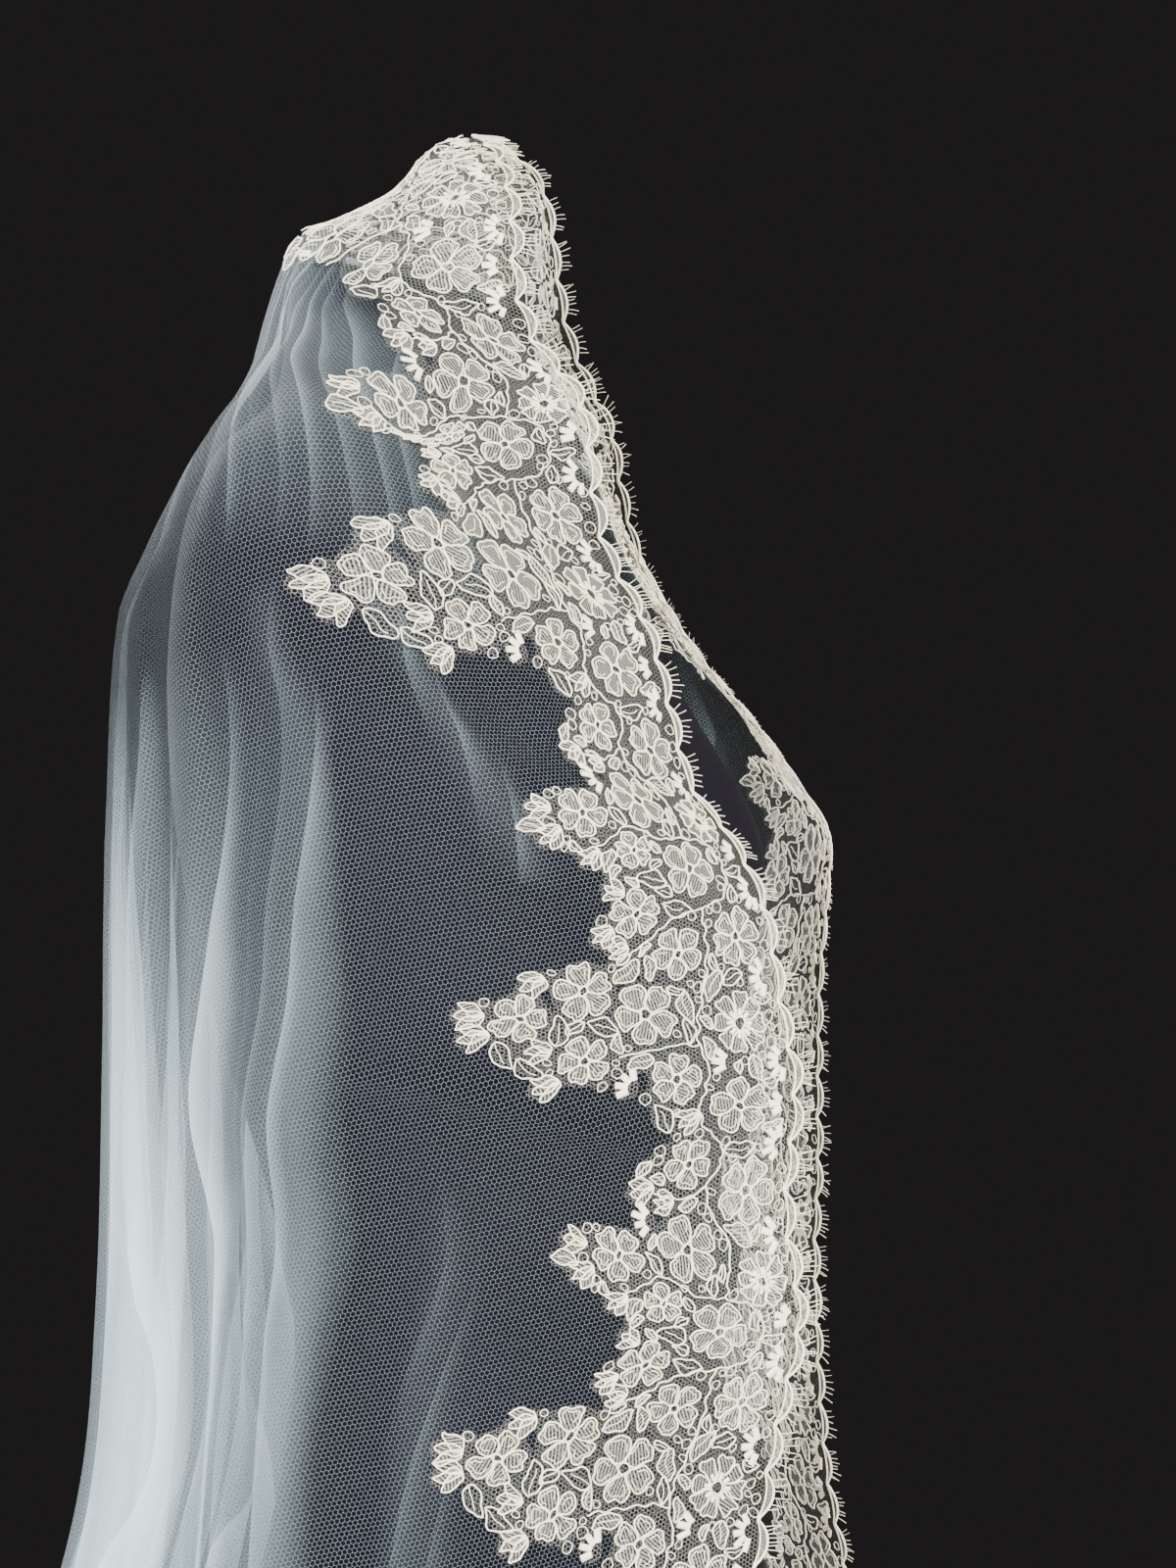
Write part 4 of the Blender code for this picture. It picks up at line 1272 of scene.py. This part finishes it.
def torso_mesh():
    """The form's padded body, closely ringed so that its cover looks smooth."""
    rings = spline([row[:3] for row in RINGS], RINGS_BETWEEN)
    rest = spline([(row[3], row[4], 0) for row in RINGS], RINGS_BETWEEN)
    turn = np.linspace(0, 2 * np.pi, RING_POINTS, endpoint=False)[None]
    z, wide, front = (rings[:, k:k + 1] for k in range(3))
    back, slope = rest[:, :1], rest[:, 1:2]
    middle, depth = (front + back) / 2, (back - front) / 2
    x = wide * np.sin(turn)
    y = middle + depth * np.cos(turn)
    level = np.exp(-(((z - BUST_Z) / BUST_HEIGHT) ** 2))
    bust = BUST_RISE * level * np.exp(-(((np.abs(x) - BUST_SPREAD) / BUST_WIDTH) ** 2))
    y = y - np.where(np.cos(turn) < 0, bust, 0)
    height = z + (y - middle) * np.tan(np.radians(slope))
    points = np.stack([x, y, height], -1)
    rows, columns = points.shape[:2]
    index = np.arange(rows * columns).reshape(rows, columns)
    after = np.roll(index, -1, axis=1)
    quads = np.stack([index[:-1], after[:-1], after[1:], index[1:]], -1).reshape(-1, 4)
    faces = quads.tolist() + [index[0].tolist()[::-1], index[-1].tolist()]
    mesh = bpy.data.meshes.new("form_cover")
    mesh.from_pydata(points.reshape(-1, 3).tolist(), [], faces)
    return mesh


# ---------------------------------------------------------------- finishes


def colour(code):
    """An sRGB hex colour, turned linear for a shader."""
    parts = [int(code[k:k + 2], 16) / 255 for k in (0, 2, 4)]
    return (*[c / 12.92 if c <= 0.04045 else ((c + 0.055) / 1.055) ** 2.4 for c in parts], 1.0)


def add_node(tree, kind, inputs=(), out=0, **settings):
    """Adds a node with its settings and gives one of its outputs. Its inputs, in order or
    by name, are values or other nodes' outputs."""
    made = tree.nodes.new("ShaderNode" + kind)
    for name, value in settings.items():
        setattr(made, name, value)
    for key, value in inputs.items() if isinstance(inputs, dict) else enumerate(inputs):
        if isinstance(value, bpy.types.NodeSocket):
            tree.links.new(value, made.inputs[key])
        else:
            made.inputs[key].default_value = value
    return made.outputs[out]


def finish(name, base, roughness, **values):
    """A Principled material; values are its other sockets by name, spaces as underscores."""
    made = bpy.data.materials.new(name)
    made.use_nodes = True
    shader = made.node_tree.nodes["Principled BSDF"]
    shader.inputs["Base Color"].default_value = colour(base)
    shader.inputs["Roughness"].default_value = roughness
    for key, value in values.items():
        shader.inputs[key.replace("_", " ")].default_value = value
    return made, made.node_tree, shader


def flat_place(tree, mesh_size, bend=0.0, bend_size=1.0):
    """The flat cloth's own measures, counted in meshes of its net. Where the net isn't
    quite even, it bends by up to half of bend, over lengths of about bend_size."""
    place = add_node(tree, "UVMap", uv_map="flat")
    if bend:
        noise = add_node(tree, "TexNoise", {"Vector": place, "Scale": 1 / bend_size}, "Color")
        shift = add_node(tree, "VectorMath", (noise, (0.5, 0.5, 0.5)), operation="SUBTRACT")
        shift = add_node(tree, "VectorMath", {0: shift, "Scale": bend}, operation="SCALE")
        place = add_node(tree, "VectorMath", (place, shift), operation="ADD")
    return add_node(tree, "VectorMath", {0: place, "Scale": 1 / mesh_size}, operation="SCALE")


def hexagons(tree, place):
    """How near a place is to the sides of its hexagon: 0 at the middle, 0.5 on a side."""
    slope = math.sqrt(3) / 2
    high, low = (0.5, slope, 0.5), (-0.5, -slope, -0.5)
    moved = add_node(tree, "VectorMath", (place, high), operation="SUBTRACT")
    ways = []
    for start in (place, moved):
        way = add_node(tree, "VectorMath", (start, high, low), operation="WRAP")
        ways.append(add_node(tree, "VectorMath", (way, (1.0, 1.0, 0.0)), operation="MULTIPLY"))
    lengths = [add_node(tree, "VectorMath", (way,), "Value", operation="LENGTH") for way in ways]
    nearer = add_node(tree, "Math", lengths, operation="LESS_THAN")
    way = add_node(tree, "Mix", {"Factor": nearer, 4: ways[1], 5: ways[0]}, 1, data_type="VECTOR")
    away = add_node(tree, "VectorMath", (way,), operation="ABSOLUTE")
    slanted = add_node(tree, "VectorMath", (away, (0.5, slope, 0.0)), "Value",
                       operation="DOT_PRODUCT")
    across = add_node(tree, "SeparateXYZ", (away,))
    return add_node(tree, "Math", (slanted, across), operation="MAXIMUM")


def net_threads(tree, place, thread, soft, solid):
    """How solid a net looks, from its places in meshes: solid on its threads and 0 in its
    holes. The thread's width and the softness of its sides are shares of one mesh."""
    edge = 0.5 - thread / 2
    shown = add_node(tree, "MapRange", (hexagons(tree, place), edge - soft, edge + soft))
    return add_node(tree, "Math", (shown, solid), operation="MULTIPLY")


def grain(tree, shader, place, per_mm, detail, strength, depth):
    """A surface's fine unevenness, with so many marks to the millimetre, as a bump; gives
    its pattern too."""
    pattern = {"Vector": place, "Scale": per_mm / MM, "Detail": detail}
    pattern = add_node(tree, "TexNoise", pattern)
    bump = add_node(tree, "Bump", {"Height": pattern, "Strength": strength, "Distance": depth})
    tree.links.new(bump, shader.inputs["Normal"])
    return pattern


# Widths of one mesh or stitch
TULLE_MESH = 1.75 * MM  # drawn coarser than the real 1.1 mm, which is too fine to see
GROUND_MESH = 1.5 * MM  # coarser than the real 0.8 mm, for the same reason
BAND_MESH = 0.9 * MM  # coarser than the real 0.5 mm
STITCH = 1.2 * MM  # coarser than the real 0.6 mm
SMALL_FOLDS = 48  # folds too small to model, over the tulle's whole width
SWAY = (3.0, 0.6, 1.0)  # how often they sway, across the cloth and down it
SWAY_WIDTH = 5.0  # how far they sway, in folds


def tulle_finish():
    # soft bridal tulle, a bobbin net: pale cool threads in small hexagons, and mostly
    # holes; where it hangs in folds too small to model, long soft streaks of doubled net,
    # each brightest at one side of its fold
    made, tree, shader = finish("bobbinet_tulle", "c8dde2", 0.62, Sheen_Weight=0.3)
    net = net_threads(tree, flat_place(tree, TULLE_MESH), thread=0.04, soft=0.012, solid=0.33)
    hang = add_node(tree, "UVMap", uv_map="hang")
    sway = add_node(tree, "VectorMath", (hang, SWAY), operation="MULTIPLY")
    sway = add_node(tree, "TexNoise", {"Vector": sway, "Detail": 0.0})
    sway = add_node(tree, "Math", (sway, SWAY_WIDTH), operation="MULTIPLY")
    across = add_node(tree, "SeparateXYZ", (hang,))
    across = add_node(tree, "Math", (across, SMALL_FOLDS), operation="MULTIPLY")
    fold = add_node(tree, "Math", (across, sway), operation="ADD")
    number = add_node(tree, "Math", (fold,), operation="FLOOR")
    depth = add_node(tree, "TexWhiteNoise", {"W": number}, noise_dimensions="1D")
    edge = add_node(tree, "Math", (fold,), operation="FRACT")
    edge = add_node(tree, "Math", (edge, 4.0), operation="POWER")
    doubled = add_node(tree, "Math", (edge, depth), operation="MULTIPLY")
    doubled = add_node(tree, "Math", (doubled, 0.45, 0.095), operation="MULTIPLY_ADD")
    gather = add_node(tree, "Attribute", out="Fac", attribute_name="gathered")
    doubled = add_node(tree, "Math", (doubled, gather), operation="MULTIPLY")
    holes = add_node(tree, "Math", (1.0, net), operation="SUBTRACT")
    clear = add_node(tree, "Math", (1.0, doubled), operation="SUBTRACT")
    holes = add_node(tree, "Math", (holes, clear), operation="MULTIPLY")
    cloth = add_node(tree, "Math", (1.0, holes), operation="SUBTRACT")
    tree.links.new(cloth, shader.inputs["Alpha"])
    return made


def lace_net_finish():
    # the lace's ground: finer, closer and warmer net than the tulle, cut round its flowers
    made, tree, shader = finish("fine_lace_ground", "e8dfc8", 0.7, Sheen_Weight=0.3)
    place = flat_place(tree, GROUND_MESH, bend=0.5 * MM, bend_size=6 * MM)
    net = net_threads(tree, place, thread=0.10, soft=0.04, solid=0.24)
    cover = add_node(tree, "Attribute", out="Fac", attribute_name="cover")
    there = add_node(tree, "Math", (cover, 0.0), operation="GREATER_THAN")
    net = add_node(tree, "Math", (net, there), operation="MULTIPLY")
    tree.links.new(net, shader.inputs["Alpha"])
    return made


def close_net_finish():
    # the scallops' bands: the same net drawn together, so it looks nearly solid
    made, tree, shader = finish("close_lace_net", "e8dfc8", 0.7, Sheen_Weight=0.3)
    place = flat_place(tree, BAND_MESH, bend=0.4 * MM, bend_size=5 * MM)
    net = net_threads(tree, place, thread=0.3, soft=0.1, solid=0.28)
    tree.links.new(net, shader.inputs["Alpha"])
    return made


def filling_finish():
    # darned petals and leaves: close slanting stitches that still let the light through,
    # each about half as wide as its row, and fading at its sides
    made, tree, shader = finish("darned_filling", "efe7cf", 0.6, Sheen_Weight=0.3)
    place = flat_place(tree, STITCH, bend=0.4 * MM, bend_size=5 * MM)
    across = add_node(tree, "SeparateXYZ", (place,))
    row = add_node(tree, "Math", (across,), operation="FRACT")
    near = add_node(tree, "Math", (row, 0.5), operation="SUBTRACT")
    near = add_node(tree, "Math", (near,), operation="ABSOLUTE")
    stitches = add_node(tree, "MapRange", (near, 0.12, 0.24, 0.32, 0.01))
    tree.links.new(stitches, shader.inputs["Alpha"])
    return made


def cord_finish():
    # rayon outlining cord: warm ivory, a soft thread gloss and fine twist across it
    made, tree, shader = finish("rayon_cord", "fbf0cf", 0.5, Sheen_Weight=0.35)
    place = add_node(tree, "TexCoord", out="Object")
    grain(tree, shader, place, per_mm=2.6, detail=2.0, strength=0.35, depth=0.2 * MM)
    return made


def jersey_finish():
    # black cotton jersey pulled over the padding: matt, with a slight nap
    made, tree, shader = finish("black_cotton_jersey", "0e0b12", 0.95, Sheen_Weight=0.01,
                                Specular_IOR_Level=0.06)
    place = add_node(tree, "TexCoord", out="Object")
    grain(tree, shader, place, per_mm=0.9, detail=3.0, strength=0.3, depth=0.4 * MM)
    return made


def lacquer_finish():
    # turned wood under satin black lacquer: soft reflections, a little uneven from rubbing
    made, tree, shader = finish("satin_black_lacquer", "0d0d0e", 0.3, Coat_Weight=0.4)
    place = add_node(tree, "TexCoord", out="Object")
    rubbed = add_node(tree, "TexNoise", {"Vector": place, "Scale": 0.06 / MM, "Detail": 4.0})
    dull = add_node(tree, "MapRange", {0: rubbed, 3: 0.24, 4: 0.42})
    tree.links.new(dull, shader.inputs["Roughness"])
    grain(tree, shader, place, per_mm=0.5, detail=2.0, strength=0.06, depth=0.4 * MM)
    return made


def steel_finish():
    # drawn steel tube, brushed along its length: fine lines that stretch the highlights
    made, tree, shader = finish("brushed_steel_tube", "9a9b9e", 0.34, Metallic=1.0)
    place = add_node(tree, "TexCoord", out="Object")
    place = add_node(tree, "VectorMath", (place, (1.0, 1.0, 0.02)), operation="MULTIPLY")
    lines = grain(tree, shader, place, per_mm=0.9, detail=2.0, strength=0.12, depth=0.2 * MM)
    worn = add_node(tree, "MapRange", {0: lines, 3: 0.26, 4: 0.46})
    tree.links.new(worn, shader.inputs["Roughness"])
    return made


def paper_finish():
    # matt paper floor: barely visible fibres
    made, tree, shader = finish("pale_paper_floor", "d9d7d2", 0.8)
    place = add_node(tree, "TexCoord", out="Object")
    fibres = add_node(tree, "TexNoise", {"Vector": place, "Scale": 0.16 / MM, "Detail": 5.0})
    tones = {"Factor": fibres, 6: colour("d5d3ce"), 7: colour("dddbd6")}
    tone = add_node(tree, "Mix", tones, 2, data_type="RGBA")
    tree.links.new(tone, shader.inputs["Base Color"])
    return made


# ---------------------------------------------------------------- the veil

TUBES = (
    # piece, its part of the work, lift off the tulle, sides, one stretch, half height
    ("lace_cords_", "cords", 0.0015, 4, 0.0011, None),
    ("lace_fine_cords_", "fine", 0.0014, 3, 0.0015, None),
    ("lace_bars_", "bars", 0.0015, 6, 0.0010, BAR_HEIGHT),
    ("scallops_", "scallops", 0.0012, 4, 0.0013, None),
)


def build_veil():
    """The tulle, then each side's lace from its net up."""
    lace_ground, close_net = lace_net_finish(), close_net_finish()
    filling, cord = filling_finish(), cord_finish()
    tulle = add_piece("tulle", tulle_mesh(), tulle_finish())
    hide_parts("tulle_body")

    work = flat_lace()
    for side in ("right", "left"):
        ground = lace_net("lace_net_" + side, work["discs"], side)
        net = add_piece("lace_net_" + side, ground, lace_ground)
        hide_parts("lace_trim_" + side)
        for name, part, lift, sides, step, height in TUBES:
            mesh = tube_mesh(name + side, work[part], side, lift, sides, step, height)
            add_piece(name + side, mesh, cord)
        petals = fill_mesh("lace_fillings_" + side, work["fills"], side)
        add_piece("lace_fillings_" + side, petals, filling)
        bands = scallop_bands("scallop_bands_" + side, side)
        add_piece("scallop_bands_" + side, bands, close_net)
        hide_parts("lash_edge_" + side)


def build_form():
    """The form's cover, and the finishes of its cap, pole and base."""
    torso = add_piece("form_cover", torso_mesh(), jersey_finish())
    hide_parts("form_torso")
    lacquer, steel = lacquer_finish(), steel_finish()
    for node, made in (("form_neck_cap", lacquer), ("stand_base", lacquer), ("stand_pole", steel)):
        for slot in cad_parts[node].material_slots:
            slot.material = made


# ---------------------------------------------------------------- studio

ROOM = "211f20"
FLOOR_HALF = 3  # metres each way
FLOOR_Z = -0.0005  # a hair under the base, so that the two don't meet
LIGHTS = (
    # name, place, aim, size, watts, tint
    ("key", (-1.9, -1.7, 2.3), (0, 0, 1.2), 1.3, 245, "ffffff"),
    ("fill", (-2.2, 0.9, 1.5), (0, 0, 1.15), 1.6, 126, "f4f8ff"),
    ("front", (0.5, -2.3, 1.7), (0, 0, 1.2), 1.2, 53, "ffffff"),
    ("back", (0.9, 1.9, 2.1), (0, 0.05, 1.2), 1.2, 118, "f4f8ff"),
)
CAMERA_PLACE = (-1.08528, -0.38133, 1.2606)
CAMERA_TURN = 18.0  # degrees from square on to the form's right side
CAMERA_LENS = 66.346
CAMERA_SENSOR = 36  # from top to bottom


def build_studio():
    """A pale floor in a dark room, four soft lights and the camera."""
    mesh = bpy.data.meshes.new("floor")
    corners = [(x * FLOOR_HALF, y * FLOOR_HALF, FLOOR_Z)
               for x, y in ((-1, -1), (1, -1), (1, 1), (-1, 1))]
    mesh.from_pydata(corners, [], [(0, 1, 2, 3)])
    mesh.materials.append(paper_finish())
    add_object("floor", mesh)

    world = bpy.context.scene.world or bpy.data.worlds.new("studio")
    bpy.context.scene.world = world
    world.use_nodes = True
    world.node_tree.nodes["Background"].inputs["Color"].default_value = colour(ROOM)
    for name, place, aim, size, watts, tint in LIGHTS:
        data = bpy.data.lights.new(name, "AREA")
        data.size = size
        data.energy = watts
        data.color = colour(tint)[:3]
        light = add_object(name, data)
        light.location = place
        way = Vector(aim) - Vector(place)
        light.rotation_euler = way.to_track_quat("-Z", "Y").to_euler()

    data = bpy.data.cameras.new("camera")
    data.lens = CAMERA_LENS
    data.sensor_fit = "VERTICAL"
    data.sensor_height = CAMERA_SENSOR
    camera = add_object("camera", data)
    camera.location = CAMERA_PLACE
    camera.rotation_euler = (math.pi / 2, 0, math.radians(CAMERA_TURN - 90))
    bpy.context.scene.camera = camera


build_form()
build_veil()
build_studio()
